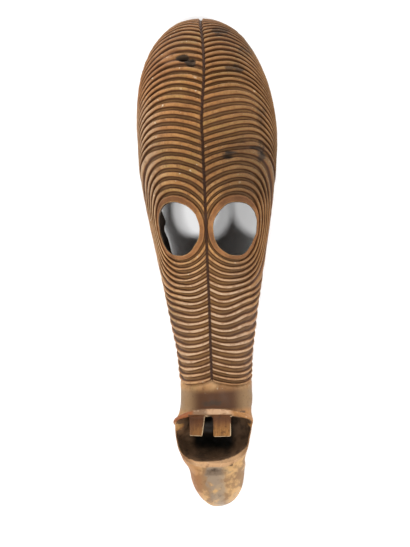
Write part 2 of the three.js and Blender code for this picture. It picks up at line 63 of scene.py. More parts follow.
# Ribs and grooves
RIB_PITCH = 11.0
GROOVE_DEPTH = 3.6
SPINE_DEPTH = 4.6
RIDGE_ROUNDING = 0.5
TOP_RIBS = 29
LOWER_RIBS = 21
LOWER_PITCH = 6.2
LOWER_GROWTH = 0.115
SHARED_RIBS = 7
COLUMNS = 60
SPINE_HALF = 3.6  # half width of the middle groove
SPINE_GAP = 0.6  # the two sides' rows stop this far from its middle line
SPINE_ROOM = 4.0  # the width beside it is measured at least this far below the top
SPINE_COLUMNS = np.array([SPINE_GAP, 1.3, 2.1, 2.9, 3.9])
GROOVE_WALL = (0.11, 0.31)  # where its side begins and ends, out from its middle, in ribs
GROOVE_LINES = np.array([-0.5, -0.31, -0.25, -0.19, -0.12, 0, 0.12, 0.19, 0.25, 0.31])
ROW_ROOM = 0.03  # no row comes closer than this to the last one
DRIFT_FADE = (10.0, 54.0)  # rib angles between which the drift fades, beside the eye
DRIFT_WHOLE = 19.0  # the rib from which the drift holds right across
RIM_ARCH = 2.5  # the rim beside the eyes stands this far off the floor, over ARCH_REACH each way from ARCH_Y
ARCH_Y = 45.0
ARCH_REACH = 75.0
RIM_FADE = 30.0  # the chips of the back rim reach this high up the skin
FACE_HEART = -196.0  # where the ribbed part and the muzzle are closed inside the wood
MUZZLE_HEART = -150.0
FACE_END = ((0.5, -6.0), (1.2, -7.0))  # rows past the last groove and their lift, hidden under the muzzle
HEART_HEIGHT = 25.0

# Unevenness of hand work, as layers of how far it swings, the length of its waves, and a seed
GROOVE_WANDER = ((0.09, 34, 3), (0.04, 13, 4))
WANDER_FADE = (85.0, 100.0)  # angles over which it fades out towards the back rim
SETTLING_ROUNDS = 5  # the wandering depends on where the row lies, so it is worked out this many times
GROOVE_WIDTHS = ((0.2, 19, 5),)
LOWER_WIDER = 0.24  # the grooves under the eyes are wider by this share
GROOVE_DEPTHS = ((0.15, 27, 6),)
SKIN_MARKS = ((0.25, 9, 7), (0.35, 30, 8))
SPOT_EDGES = ((0.3, 6, 51),)
RIM_LEAST = 0.6
RIM_MOST = 5.0
RIM_CHIPS = ((1.8, 26, 31), (1.4, 9, 32))
EYE_WAVER = ((1.1, 21, 61), (0.55, 9, 62))
WAVER_FADE = (0.4, 1.2)  # rows over which that fades out
EYE_WALL_MARKS = ((0.35, 7, 21),)
MUZZLE_MARKS = ((0.25, 12, 71),)
MOUTH_MARKS = ((0.8, 6, 72), (0.4, 3, 73))
MARKS_FROM = (200.0, 212.0)  # how far down the mask both begin
HOLLOW_EDGE = ((1.0, 9, 43), (0.6, 4, 44))
SCOOPS = ((0.9, 11, 41),)
SCOOP_LENGTH = 0.45  # the scoops' waves are longer along the mask by the inverse of this
SWELLS = ((0.5, 24, 42),)
SCOOPS_MEAN = -0.4
SCOOPS_FROM = 8.0  # they fade out from this height down to the floor

# Colour masks stored on the mesh, with their columns
MASKS = {"groove": 0, "spine": 1, "inner": 2, "scar": 3, "lip": 4, "tooth": 5, "stain": 6, "pale": 7}

# Knot holes and broken ribs in the face: place, radii and depth
KNOTS = [
    (-26.8, 276, 13, 7.5, 7),
    (-14.8, 269.5, 9, 8, 5.5),
    (35, 145, 16, 3.2, 2.2),
    (30, 138.5, 14, 3.4, 2.4),
    (66, 153, 8, 3.6, 2),
    (78, 146, 5, 8, 2),
]

# Places where the ribs are worn low: place, radii and share of the depth that is gone
WORN = [
    (-45, 279, 24, 12, 0.8),
    (62, 150, 16, 12, 0.4),
    (70, 215, 18, 30, 0.35),
    (42, -165, 14, 16, 0.45),
]

# Dark stains in the wood, and painted shade in the recess under the lower lip: place, radii and strength
STAINS_AND_SHADE = [
    (44, 262, 26, 9, 0.8),
    (76, 148, 13, 24, 0.75),
    (28, 318, 30, 14, 0.7),
    (60, 292, 22, 22, 0.5),
    (78, 200, 14, 40, 0.5),
    (32, 142, 24, 9, 0.6),
    (-22, 273, 20, 12, 0.6),
    (-2, -197, 34, 8, 0.75),
    # Painted shade in the recess under the lower lip.
    (-8, -290.5, 18, 6, 0.6),
]

# Eye holes
EYE_Y = 43.0
EYE_ANGLE = 29.5
EYE_INNER = 24.0
EYE_OUTER = {-1: 26.0, 1: 23.5}  # for the left and the right eye
EYE_HALF_HEIGHT = 37.5
RING_TONE = 0.46  # the plain band round each eye is a little darker than the ribs
RING_WIDTH = 0.66  # of that band, counted in ribs
RING_SWELL = 0.4
EYE_ROWS = (0, 0.12, 0.25, 0.38)  # the first rows out from the hole's edge
EYE_EDGE = 0.8  # rounding of the hole's edge
EYE_EDGE_TURNS = (20, 45, 70, 90)
EYE_FLOOR = 22.0  # height down to which the holes' walls are modelled
EYE_WALL_STEPS = 8
EYE_WALL_TONE = 0.7

# Mouth, lips and teeth, as (y, z) where two numbers are given
CORNER = np.array([-229.0, 40.0])
UPPER_LIP = np.array([-211.0, 72.0])
LOWER_LIP = np.array([-283.0, 64.5])
UPPER_REACH = 90.0  # how far the gap's two sides run on from the corner
LOWER_REACH = 135.0
LIP_RUNS_ON = 40.0
LIP_THICKNESS = 6.2
LIP_THINNER = 3.5  # the upper lip's pale band at the right
LOWER_LIP_THICKNESS = 2.6
UPPER_LIP_PROUD = (3.0, 3.8, 0.6)  # at the left, in the middle and at the right
LOWER_LIP_PROUD = (0.2, 0.9, 0.2)
JAW_WALL = 2.2
MOUTH_CORNERS = [((-68, -227, 19), (32, 27, 31)), ((54, -229, 24), (17, 13, 24))]
# The mouth's dark is stained wood with painted shade over it: the tones below cap it in the two corners, and
# it deepens under the open surface, blackest in the middle behind the teeth, less dark low down and towards
# the sides.
CORNER_TONES = (0.36, 0.6)  # how dark the wood in the left and the right corner is
DARK_DEPTH = (-1.0, 3.0)  # how deep under the open surface the mouth turns dark
DARK_TOP = (-212.0, -208.0)
DARK_LOWEST = (-290.0, -284.5)  # deep inside and near the lip
NEAR_LIP = (44.0, 52.0)  # heights between which that limit moves
DARK_SKIN = (0.6, 1.6)  # how far the dark stays inside the outer sides
LOW_TONE = 0.84  # it is less dark low down, and towards the sides
LOW_FADE = (-274.0, -258.0)
SIDE_TONE = 0.76
SIDE_FADE = (18.0, 40.0)
MOUTH_MIDDLE = -8.0
BALL_END = 0.06  # angle from a rounded lump's pole to its first ring, in radians
LIP_RECESS = ((-8, -291, 63.5), (15, 4.5, 4.6))
MOUTH_BACK = -217.0
MOUTH_CENTRE = (-16.0, -236.0, 68.0)
MOUTH_RADII = (90.0, 43.0, 59.0)
MOUTH_RIGHT = 68.5  # the bowl reaches less far to the right
TOOTH_ROOT = -208.0
TOOTH_THICKNESS = 9.0
MUZZLE_VOXEL = 1.3
MUZZLE_FROM = -190.0
MUZZLE_REACH = 90.0  # half width of the blocks that are drawn right across it
MUZZLE_SHOULDER = [(-0.8, -9), (-0.4, -6.5), (-0.1, -3.6), (0.15, -1.5), (0.4, -0.3), (0.7, 0)]
TEETH = [(-39, -15, -39.2, -21.5, -243.6, 60, 66), (-5.6, 19.8, -6.2, 18.2, -244.3, 67.5, 65)]
TOOTH_BEVEL = 1.6
TOOTH_MASK_FROM = 48.0
TOOTH_SINK = 3.0  # the root lies this much lower than the end
BLOCK_ENDS = (-180.0, -306.0)  # the muzzle as a block for the lips and the mouth, and its rows and columns
BLOCK_ROWS = 43
BLOCK_COLUMNS = 34
BLOCK_TURNS = (35.0, 80.0)  # angles over which its front turns into its side
BLOCK_FLOOR = -6.0
MUZZLE_ROWS = 64
MUZZLE_LEVEL_BY = 10  # its rows bend from the last groove's line to a level one over this many
MUZZLE_LIGHTER = 0.4  # share of the remeshed triangles that is kept
SOFTENING = 0.5

# Hollow
HOLLOW_TOP = 337.0
HOLLOW_BOTTOM = -209.0
HOLLOW_ROUNDS_FROM = -178.0
HOLLOW_ROWS = 170
HOLLOW_COLUMNS = 45
# The hollow's inside is painted dark: dark wood, with painted shade, as it lies in shadow.
HOLLOW_TONE = 0.88
HOLLOW_CURL = 0.6  # share of the left wall's extra curl that the hollow follows
HOLLOW_SIDE_STEPS = 6
HOLLOW_FOOT = 0.65  # share of the wall's height over which its worn foot fades out
HOLLOW_NARROW = 30.0  # where its half width is under this, the foot is worn less
HOLLOW_FLOOR = -8.0
HOLLOW_CLOSER = 0.4  # how much closer together the rows are at both ends


def curve(*points):
    """Smooth curve through (position, value) pairs that never overshoots them."""
    xs, ys = np.array(points, dtype=float).T
    span = np.diff(xs)
    slope = np.diff(ys) / span
    before, after = slope[:-1], slope[1:]
    total = np.where(before + after == 0, 1, before + after)
    inner = np.where(before * after <= 0, 0, 2 * before * after / total)
    tangent = np.concatenate([slope[:1], inner, slope[-1:]])

    def value(x):
        x = np.clip(np.asarray(x, dtype=float), xs[0], xs[-1])
        i = np.clip(np.searchsorted(xs, x, side="right") - 1, 0, len(span) - 1)
        t = (x - xs[i]) / span[i]
        lower = ys[i] * (1 + 2 * t) * (1 - t) ** 2
        upper = ys[i + 1] * (3 - 2 * t) * t * t
        bend = span[i] * (tangent[i] * t * (1 - t) ** 2 - tangent[i + 1] * t * t * (1 - t))
        return lower + upper + bend

    return value


def mix(a, b, t):
    return a + (b - a) * t


# How far the hand-cut grooves have drifted from the even rows, by row, for each side, over and under the eye
DRIFT = {
    (-1, 1): curve(
        (1, 0), (2, 0.25), (5, 0.25), (8, 0.6), (13, 0.7), (16, 1), (22, 1.02), (24.6, 1.4), (29, 2.5),
    ),
    (1, 1): curve(
        (1, 0), (2.5, 0.5), (5, 0.6), (8, 1.2), (10.5, 1.42), (14, 1.3), (16, 1.9), (18.5, 2.65), (21, 3.15),
        (24.8, 4.2), (29, 5.2),
    ),
    (-1, -1): curve((1, 0), (4, -0.5), (7, -0.8), (14, -1.15), (18, -1.25), (21, -1)),
    (1, -1): curve(
        (1.5, 0), (5, -0.9), (7.4, -1.4), (10, -1.85), (14, -2.25), (16, -2.05), (19, -1.9), (20, -1.6),
        (21, -1),
    ),
}


def smooth_step(x, low, high):
    t = np.clip((x - low) / (high - low), 0, 1)
    return t * t * (3 - 2 * t)


def rounded(t, power):
    """A rounded end: 1 at t = 0, 0 at t = 1."""
    return (1 - np.clip(t, 0, 1) ** power) ** (1 / power)


# Curves of the plain form, as pairs of y and a measure
side_curve = curve(
    (-300, 38.3), (-290, 40.6), (-284, 42.3), (-272, 45.6), (-256, 50.2), (-240, 53.3), (-226, 54.4),
    (-211, 50.4), (-195, 51), (-185, 50.6), (-156, 52), (-127, 54.5), (-98, 59), (-55, 66), (2, 76), (45, 84),
    (88, 91), (130, 96.5), (178, 98.5),
)
crown_curve = curve(
    (-300, 59), (-270, 66), (-232, 70), (-200, 66), (-185, 67), (-127, 76), (-55, 88), (45, 102),
    (130, 108), (205, 110),
)
centre_curve = curve(
    (-350, -3), (-316, -4), (-291, -4.5), (-278, -7.6), (-256, -7.8), (-235, -6.6), (-213, -3.2),
    (-195, -0.7), (60, -0.3), (120, -0.2), (145, 0.2), (170, 1.3), (200, 0.8), (270, -1.6), (340, -2.6),
)
square_curve = curve((-325, 2.1), (-300, 2.3), (-284, 3), (-264, 2.8), (-232, 2.35), (-200, 2.25), (-170, 2))
# Height at which the mask is widest, as a share of its full height
widest_height = curve(
    (-325, 0.3), (-296, 0.36), (-280, 0.6), (-262, 0.75), (-245, 0.7), (-229, 0.6), (-214, 0.45),
    (-198, 0.33), (-184, 0.3),
)
spine_curve = curve(
    (-165, -4.5), (-110, -3.8), (-50, -3.1), (0, -3.1), (50, -2.7), (100, -2.6), (145, -3.2), (180, -4.6),
    (200, -3), (220, -0.8), (240, 2.2), (275, 4.4), (300, 3.9), (335, 1),
)
keel_curve = curve((-215, 0), (-170, 3), (-100, 6), (0, 5), (50, 3), (110, 0))
# How much more the left wall curls in at its foot, as a share of the half width
left_curl = curve((-130, 0), (-60, 0.07), (5, 0.105), (45, 0.06), (75, 0.055), (130, 0.03), (180, 0))
# The worn inner edge of that foot, in millimetres inwards
left_edge = curve(
    (-60, 0), (6, 0.5), (20, 0), (34, -1.1), (45, -2.8), (51, -1.1), (57, 1.8), (66, 0.3), (74, -1), (90, 0),
    (130, 0),
)


def half_width(y):
    dome = HALF_WIDTH * rounded((y - WIDEST_AT) / (TOP - WIDEST_AT), 2.1)
    chin = side_curve(CHIN_FROM) * rounded((CHIN_FROM - y) / (CHIN_FROM - BOTTOM), 1.9)
    return np.where(y > WIDEST_AT, dome, np.where(y < CHIN_FROM, chin, side_curve(y)))


# Where a row round the eye first reaches the middle groove
SPLIT = 1 - math.degrees(SPINE_GAP / float(half_width(EYE_Y))) / (EYE_ANGLE - EYE_INNER)


def crown(y):
    dome = CROWN * rounded((y - DOME_FROM) / (TOP - DOME_FROM), 2)
    chin = crown_curve(CHIN_FROM) * rounded((CHIN_FROM - y) / (CHIN_FROM - BOTTOM), 2.4)
    return np.where(y > DOME_FROM, dome, np.where(y < CHIN_FROM, chin, crown_curve(y)))


def curl(side, y):
    return CURL + (left_curl(y) if side < 0 else 0)


def unit(vectors):
    return vectors / np.maximum(np.linalg.norm(vectors, axis=-1, keepdims=True), 1e-9)


def section(y):
    """The plain form at y: half width, height, the height at which it is widest, and its power."""
    high = crown(y)
    return half_width(y), high, widest_height(y) * high, 2 / square_curve(y)


def form(side, angle, y):
    """Points of the plain form: side is 1 or -1, angle 0 at the middle and 90 at the widest."""
    angle, y = np.broadcast_arrays(np.asarray(angle, float), np.asarray(y, float))
    wide, high, low, power = section(y)
    c = np.clip(np.cos(np.radians(angle)), 0, 1)
    s = np.sin(np.radians(angle))
    front = np.sign(s) * np.abs(s) ** power
    back = np.clip((angle - 90) / (RIM_ANGLE - 90), 0, 1)
    across = np.where(angle > 90, 1 - curl(side, y) * back**2, front)
    x = centre_curve(y) + spine_curve(y) * c * c + side * wide * across
    z = low * (1 - back) + (high - low) * c**power + keel_curve(y) * c**12
    return np.stack([x, y, z], -1)


def normals(side, angle, y):
    step = 0.5
    near = np.clip(y, BOTTOM + 2 * step, TOP - 2 * step)
    across = form(side, angle + step, near) - form(side, angle - step, near)
    along = form(side, angle, near + step) - form(side, angle, near - step)
    return unit(np.cross(across, along) * side)


def forehead_stations():
    """Places up the forehead that are an equal way apart along its curve."""
    fine = 0.02
    ys = np.arange(EYE_Y + EYE_HALF_HEIGHT, TOP - 1, fine)
    gone = np.concatenate([[0], np.cumsum(np.hypot(fine, np.diff(crown(ys))))])
    return np.interp(np.arange(TOP_RIBS + 1) * RIB_PITCH, gone, ys)


STATIONS = forehead_stations()

top_middle = curve((0, EYE_ANGLE), (5, 27), (10, 24), (16, 22), (29, 25))
low_middle = curve((0, EYE_ANGLE), (2, 31), (5, 37), (9, 42), (14, 45), (21, 46))
top_inner = curve((0, EYE_INNER), (1, 29.5), (2, 34), (3, 39), (4, 45), (5, 53), (6, 59.5), (7, 65))
low_inner = curve((0, EYE_INNER), (1, 29.3), (2, 35), (3, 41), (5, 55), (7, 72))
beside_eye = {
    side: curve(*enumerate((EYE_ANGLE + EYE_OUTER[side], *near, 69.8, 74.6, 83, RIM_ANGLE)))
    for side, near in {-1: (57.8, 61.8, 65.6), 1: (56.8, 61.2, 65.4)}.items()
}
top_bend = curve((7, 0.0088), (10, 0.0125), (14, 0.015), (19, 0.0145), (24, 0.0075), (29, 0.001))
low_bend = curve((7, 0.0095), (9, 0.0085), (13, 0.0062), (18, 0.005), (21, 0.0045))
top_inner_bend = curve((7, 0.0136), (10, 0.015), (14, 0.0155), (19, 0.0145), (24, 0.0075), (29, 0.001))
low_inner_bend = curve((7, 0.0085), (11, 0.006), (14, 0.005), (18, 0.0042), (21, 0.0038))
stretch_curve = curve((7, 1), (8, 1.35), (10, 2.1), (14, 4), (29, 4))
square_rib = curve((0, 2.15), (3, 2.5), (7, 2.3), (12, 2))


def rib(side, up, v):
    """The arc of the rib at v: its middle, how high it reaches, its spreads and its roundness."""
    top = up > 0
    middle = (top_middle if top else low_middle)(v)
    if top:
        reach = np.interp(v, np.arange(TOP_RIBS + 1), STATIONS) - EYE_Y
    else:
        reach = EYE_HALF_HEIGHT + v * LOWER_PITCH + v * v * LOWER_GROWTH
    tall = reach * stretch_curve(v)
    square = np.full(len(v), 2.0) if top else square_rib(v)
    near_outer = beside_eye[side](v) - middle
    beyond = (top_inner if top else low_inner)(v)
    near_inner = np.where(v <= 1, middle - (1 - v) * (EYE_ANGLE - EYE_INNER), beyond)
    bend = (top_bend if top else low_bend)(v)
    inner_bend = (top_inner_bend if top else low_inner_bend)(v)
    far_outer = np.maximum(np.sqrt(tall / (2 * bend)), RIM_ANGLE - middle)
    far_inner = np.sqrt(tall / (2 * inner_bend))
    beside = v < SHARED_RIBS
    outer = np.where(beside, near_outer, far_outer)
    inner = np.where(beside, near_inner, far_inner)
    return middle, reach, tall, outer, inner, square


def rib_points(side, up, v, spine_gap=0.0):
    """Rib angles and heights along a row, from beside the middle groove out to the open back.

    v holds the row's number at every column; a column stands at the same share of the arc in every row.
    """
    middle, reach, tall, outer, inner, square = rib(side, up, v)
    s = math.sin(math.acos(min(1, middle[0] / inner[0]))) if v[0] > 1 else 0
    start = EYE_Y + up * (reach[0] - tall[0] + tall[0] * s ** (2 / square[0]))
    wide = half_width(min(start, TOP - SPINE_ROOM))
    gap = np.degrees(spine_gap / wide)
    starts = middle - inner < gap
    from_turn = np.where(starts, np.arccos(np.clip((gap - middle) / inner, -1, 1)), np.pi)
    to_turn = np.where(v <= SHARED_RIBS + 1e-9, 0.0, np.arccos(np.clip((RIM_ANGLE - middle) / outer, -1, 1)))
    share = np.linspace(0, 1, len(v))
    turn = mix(from_turn, to_turn, share)
    if spine_gap:
        beside = np.degrees(SPINE_COLUMNS / wide)
        count = len(beside)
        first = np.maximum(middle - inner, 0)[:count]
        close = np.arccos(np.clip((first + beside - middle[:count]) / inner[:count], -1, 1))
        rest = mix(close[-1], to_turn[count:], np.linspace(0, 1, len(v) - count + 1)[1:])
        special = np.concatenate([close, rest])
        special[0] = from_turn[0]
        turn = mix(turn, special, smooth_step(v, 0.2, 0.85))
    c, s = np.cos(turn), np.maximum(0, np.sin(turn))
    angle = middle + np.where(c > 0, outer, inner) * c
    angle[-1] = min(angle[-1], RIM_ANGLE)
    if v[-1] >= SHARED_RIBS:
        angle[-1] = RIM_ANGLE
    if not spine_gap:
        angle[0] = 0
    y = EYE_Y + up * (reach - tall + tall * s ** (2 / square))
    return angle, y


CORNERS = np.array([[k & 1, k >> 1 & 1, k >> 2 & 1] for k in range(8)])


def noise(points, size, seed=0):
    """Smooth value noise between -1 and 1, with lumps of about the given size."""
    p = np.asarray(points, float) / size + 1000.0
    cell = np.floor(p).astype(np.int64)
    t = p - cell
    t = t * t * (3 - 2 * t)
    c = cell[..., None, :] + CORNERS
    mixed = (c @ np.array([7385609, 1934967, 8349279]) + seed * 26544357) & 0xFFFFFFF
    mixed = (mixed ^ (mixed >> 13)) * 1274126177 & 0xFFFFFFF
    mixed = (mixed ^ (mixed >> 11)) * 668265263 & 0xFFFFFFF
    value = ((mixed >> 9) & 0xFFFF) / 0x7FFF - 1
    t = t[..., None, :]
    weight = np.prod(np.where(CORNERS == 1, t, 1 - t), axis=-1)
    return (weight * value).sum(-1)


def uneven(points, layers):
    return sum(swing * noise(points, length, seed) for swing, length, seed in layers)


def spot(x, y, cx, cy, rx, ry):
    """A soft round spot: 1 at its centre, 0 outside."""
    r = ((x - cx) / rx) ** 2 + ((y - cy) / ry) ** 2
    return np.clip(1 - r, 0, 1) ** 2


def drift_share(angle, v):
    """How much of the drift holds: all of it at the middle, none beside the eye, all of it far out."""
    return mix(1 - smooth_step(angle, *DRIFT_FADE), 1.0, smooth_step(v, SHARED_RIBS, DRIFT_WHOLE))


def groove_row(side, up, count):
    """A row that is a number of grooves out from the eye, wandering as a hand-cut groove does."""
    nearest = round(count)
    off = count - nearest
    v = np.full(COLUMNS, float(count))
    for _ in range(SETTLING_ROUNDS):
        angle, y = rib_points(side, up, v, SPINE_GAP)
        points = form(side, angle, y)
        steady = smooth_step(v, 1, 2) * (1 - smooth_step(angle, *WANDER_FADE))
        if up < 0:
            steady = steady * (1 - smooth_step(v, LOWER_RIBS - 1.5, LOWER_RIBS))
        share = drift_share(angle, v)
        wander = uneven(points, GROOVE_WANDER) * steady
        wide = 1 + uneven(points, GROOVE_WIDTHS) * steady
        if up < 0:
            wide = wide + LOWER_WIDER * share * smooth_step(v, 1, 3)
        aim = np.full(COLUMNS, float(count)) if abs(off) == 0.5 else nearest + off * wide
        v = np.clip(aim - DRIFT[side, up](v) * share + wander, 0, TOP_RIBS if up > 0 else LOWER_RIBS)
    angle, y = rib_points(side, up, v, SPINE_GAP)
    return angle, y, form(side, angle, y)


def groove_depth(count, points):
    """How deep the groove is along a row, from 0 on a rib to 1 in the flat bottom of a groove."""
    away = abs(count - round(count))
    if count < 0.5:
        return np.zeros(len(points))
    return np.full(len(points), 1 - float(smooth_step(away, *GROOVE_WALL)))


def spine_shape(angle, y):
    """1 in the middle groove, 0 beside it."""
    beside = np.abs(half_width(y) * np.sin(np.radians(angle)))
    return 0.5 + 0.5 * np.cos(np.pi * np.clip(beside / SPINE_HALF, 0, 1))


def spots(places, x, y, points):
    """The strongest of several soft spots with uneven edges, by place."""
    ragged = 1 + uneven(points, SPOT_EDGES)
    total = np.zeros(len(x))
    for cx, cy, rx, ry, strength in places:
        total = np.maximum(total, strength * spot(x, y, cx, cy, rx * ragged, ry * ragged))
    return total


def face_lift(count, angle, y, points):
    """Distance that the carving stands out of the plain form, and the colour masks that go with it."""
    x = points[..., 0]
    worn = spots(WORN, x, y, points)
    groove = groove_depth(count, points)
    spine = spine_shape(angle, y)
    cut = GROOVE_DEPTH * (1 + uneven(points, GROOVE_DEPTHS)) * groove * (1 - worn)
    lift = -np.maximum(cut, SPINE_DEPTH * spine)
    away = abs(count - round(count))
    lift = lift + RIDGE_ROUNDING * float(smooth_step(away, 0.3, 0.5)) * (1 - worn)
    if count < RING_WIDTH:
        lift = lift + RING_SWELL * math.sin(math.pi * count / RING_WIDTH)
    lift = lift + uneven(points, SKIN_MARKS)
    holes = spots(KNOTS, x, y, points)
    lift = lift - holes
    tone = (1 - 2 * away if count > 0.5 else RING_TONE) * (1 - 0.6 * worn)
    scar = np.clip(holes / 3, 0, 1)
    return lift, mask_table(len(x), groove=tone, spine=spine, scar=scar, stain=spots(STAINS_AND_SHADE, x, y, points))


def rim_height(points):
    """How far the chipped back rim stands off the floor, most of all beside the eyes."""
    flat = np.asarray(points, float).copy()
    flat[..., 2] = 0
    arch = RIM_ARCH * np.exp(-(((flat[..., 1] - ARCH_Y) / ARCH_REACH) ** 4))
    return np.clip(RIM_LEAST + uneven(flat, RIM_CHIPS), 0, RIM_MOST) + arch


def waver(out, count, side):
    """Moves the points round an eye hole in or out a little, as a hand-cut edge goes."""
    centre = form(side, EYE_ANGLE, EYE_Y)
    away = unit(out[:, :2] - centre[:2])
    size = uneven(out * (1, 1, 0), EYE_WAVER) * float(1 - smooth_step(count, *WAVER_FADE))
    out[:, :2] += away * size[:, None]
    return out


def rag(points):
    """Lifts the lower edge of a row of points to the chipped rim."""
    out = points.copy()
    share = np.clip(1 - out[..., 2] / RIM_FADE, 0, 1)
    out[..., 2] += rim_height(points) * share
    return out


def mask_table(count, **columns):
    """Colour masks for a number of points, by name; those not given are 0."""
    table = np.zeros((count, len(MASKS)))
    for name, values in columns.items():
        table[:, MASKS[name]] = values
    return table


def gathered(point, count=COLUMNS):
    """A row whose points all lie in one place."""
    return np.repeat(point[None], count, 0)


class Shell:
    """Rows of points stitched into one closed mesh."""

    def __init__(self):
        self.points = []
        self.masks = []
        self.quads = []
        self.count = 0

    def add(self, rows, flip=False, masks=None):
        """Adds faces between neighbouring rows, given as an array of row, column, coordinate."""
        rows = np.asarray(rows, float)
        n, m = rows.shape[:2]
        index = self.count + np.arange(n * m).reshape(n, m)
        self.points.append(rows.reshape(-1, 3))
        masks = mask_table(n * m) if masks is None else np.asarray(masks)
        self.masks.append(masks.reshape(-1, len(MASKS)))
        self.count += n * m
        a, b, c, d = index[:-1, :-1], index[:-1, 1:], index[1:, 1:], index[1:, :-1]
        quads = np.stack([a, d, c, b] if flip else [a, b, c, d], -1)
        self.quads.append(quads.reshape(-1, 4))

    def zip(self, left, right, flip=False, masks=None):
        """Joins two lines of points that both run down the mask, whatever their numbers of points."""
        left, right = np.asarray(left, float), np.asarray(right, float)
        first, second = self.count, self.count + len(left)
        points = np.concatenate([left, right])
        self.points.append(points)
        self.masks.append(mask_table(len(points)) if masks is None else gathered(masks, len(points)))
        self.count += len(points)
        i = j = 0
        faces = []
        while i < len(left) - 1 or j < len(right) - 1:
            if j == len(right) - 1 or (i < len(left) - 1 and left[i + 1][1] > right[j + 1][1]):
                faces.append([first + i, first + i + 1, second + j, second + j])
                i += 1
            else:
                faces.append([first + i, second + j + 1, second + j, second + j])
                j += 1
        self.quads.append(np.array(faces)[:, ::-1] if flip else np.array(faces))

    def build(self, name):
        """Welds equal points, drops faces without area, and makes the object."""
        points = np.concatenate(self.points)
        quads = np.concatenate(self.quads)
        keys = np.round(points * 1000).astype(np.int64)
        _, first, where = np.unique(keys, axis=0, return_index=True, return_inverse=True)
        masks = np.zeros((len(first), len(MASKS)))
        np.maximum.at(masks, where.reshape(-1), np.concatenate(self.masks))
        points = points[first]
        faces = []
        for quad in where.reshape(-1)[quads].tolist():
            face = [p for k, p in enumerate(quad) if p != quad[k - 1]]
            if len(set(face)) == len(face) and len(face) > 2:
                faces.append(face)
        obj = outward(new_object(name, points * MM, faces))
        set_masks(obj, masks)
        return obj


def set_masks(obj, masks):
    """Stores the colour masks of every point on the mesh."""
    mesh = obj.data
    for name, k in MASKS.items():
        layer = mesh.attributes.get(name) or mesh.attributes.new(name, "FLOAT", "POINT")
        layer.data.foreach_set("value", np.ascontiguousarray(masks[:, k], dtype=np.float32))


def new_object(name, points, faces):
    mesh = bpy.data.meshes.new(name)
    mesh.from_pydata(np.asarray(points).tolist(), [], faces)
    mesh.update()
    obj = bpy.data.objects.new(name, mesh)
    bpy.context.scene.collection.objects.link(obj)
    return obj


def outward(obj):
    """Turns the faces of a closed mesh outwards."""
    bm = bmesh.new()
    bm.from_mesh(obj.data)
    bmesh.ops.recalc_face_normals(bm, faces=bm.faces)
    if bm.calc_volume(signed=True) < 0:
        bmesh.ops.reverse_faces(bm, faces=bm.faces)
    bm.to_mesh(obj.data)
    bm.free()
    return obj


def loft(rings, name):
    """A closed solid through rings of points."""
    shell = Shell()
    closed = [np.concatenate([ring, ring[:1]]) for ring in rings]
    first, last = (gathered(ring.mean(0), len(closed[0])) for ring in (rings[0], rings[-1]))
    shell.add([first] + closed + [last])
    return shell.build(name)


def across_muzzle(corners, name):
    """A flat outline seen from the side, as (y, z) corners, drawn right across the muzzle."""
    corners = np.asarray(corners, float)
    ends = (-MUZZLE_REACH, MUZZLE_REACH)
    rings = [np.column_stack([np.full(len(corners), x), corners]) for x in ends]
    return loft(rings, name)


def box_across(back, front, low, high, name):
    return across_muzzle([(back, low), (front, low), (front, high), (back, high)], name)


def bake(obj):
    """Applies the object's modifiers."""
    deps = bpy.context.evaluated_depsgraph_get()
    mesh = bpy.data.meshes.new_from_object(obj.evaluated_get(deps))
    old = obj.data
    obj.modifiers.clear()
    obj.data = mesh
    bpy.data.meshes.remove(old)


def combine(obj, other, operation):
    """Joins, cuts or intersects with another solid, which is used up."""
    before = len(obj.data.vertices)
    mod = obj.modifiers.new("combine", "BOOLEAN")
    mod.object = other
    mod.operation = operation
    mod.solver = "MANIFOLD"
    bake(obj)
    if len(obj.data.vertices) in (0, before):
        raise RuntimeError(f"{operation} of {obj.name} with {other.name} did not work")
    mesh = other.data
    bpy.data.objects.remove(other)
    bpy.data.meshes.remove(mesh)
    return obj


def row_counts(side, up):
    """Where the rows stand, counted in grooves out from the eye, close together at the grooves' walls."""
    last_v = TOP_RIBS if up > 0 else LOWER_RIBS
    last = last_v + float(DRIFT[side, up](last_v))
    counts = (np.arange(1, math.ceil(last) + 1)[:, None] + GROOVE_LINES).reshape(-1)
    return sorted({*EYE_ROWS, SPLIT, last, *(float(c) for c in counts if c < last - ROW_ROOM)})


def face_rows(side, up):
    """All rows of the ribbed skin on one side, over (up = 1) or under (up = -1) the eye, and their masks."""
    rows = []
    masks = []
    rim = []
    spine = []
    for count in row_counts(side, up):
        angle, y, points = groove_row(side, up, count)
        lift, mask = face_lift(count, angle, y, points)
        out = points + normals(side, angle, y) * lift[..., None]
        if count >= SHARED_RIBS:
            out[-1, 2] = 0
        if count < WAVER_FADE[1]:
            out = waver(out, count, side)
        out = rag(out)
        rows.append(out)
        masks.append(mask)
        if count >= SHARED_RIBS:
            rim.append(out[-1])
        if count >= SPLIT:
            spine.append(out[0])
    return rows, masks, rim, spine


def eye_wall(side, edge):
    """Rows from one point inside the hollow up the eye hole's wall and round its edge."""
    centre = form(side, EYE_ANGLE, EYE_Y)
    inward = unit(centre[:2] - edge[:, :2])
    rows = []
    for turn in np.radians(EYE_EDGE_TURNS):
        row = edge.copy()
        row[:, :2] += inward * EYE_EDGE * math.sin(turn)
        row[:, 2] -= EYE_EDGE * (1 - math.cos(turn))
        rows.append(row)
    last = rows[-1]
    for t in np.linspace(0, 1, EYE_WALL_STEPS + 1)[1:]:
        row = last.copy()
        row[:, 2] = mix(last[:, 2], EYE_FLOOR, t)
        row[:, :2] += uneven(row, EYE_WALL_MARKS)[:, None] * inward
        rows.append(row)
    rows.append(gathered(np.array([centre[0], centre[1], EYE_FLOOR])))
    return rows[::-1]


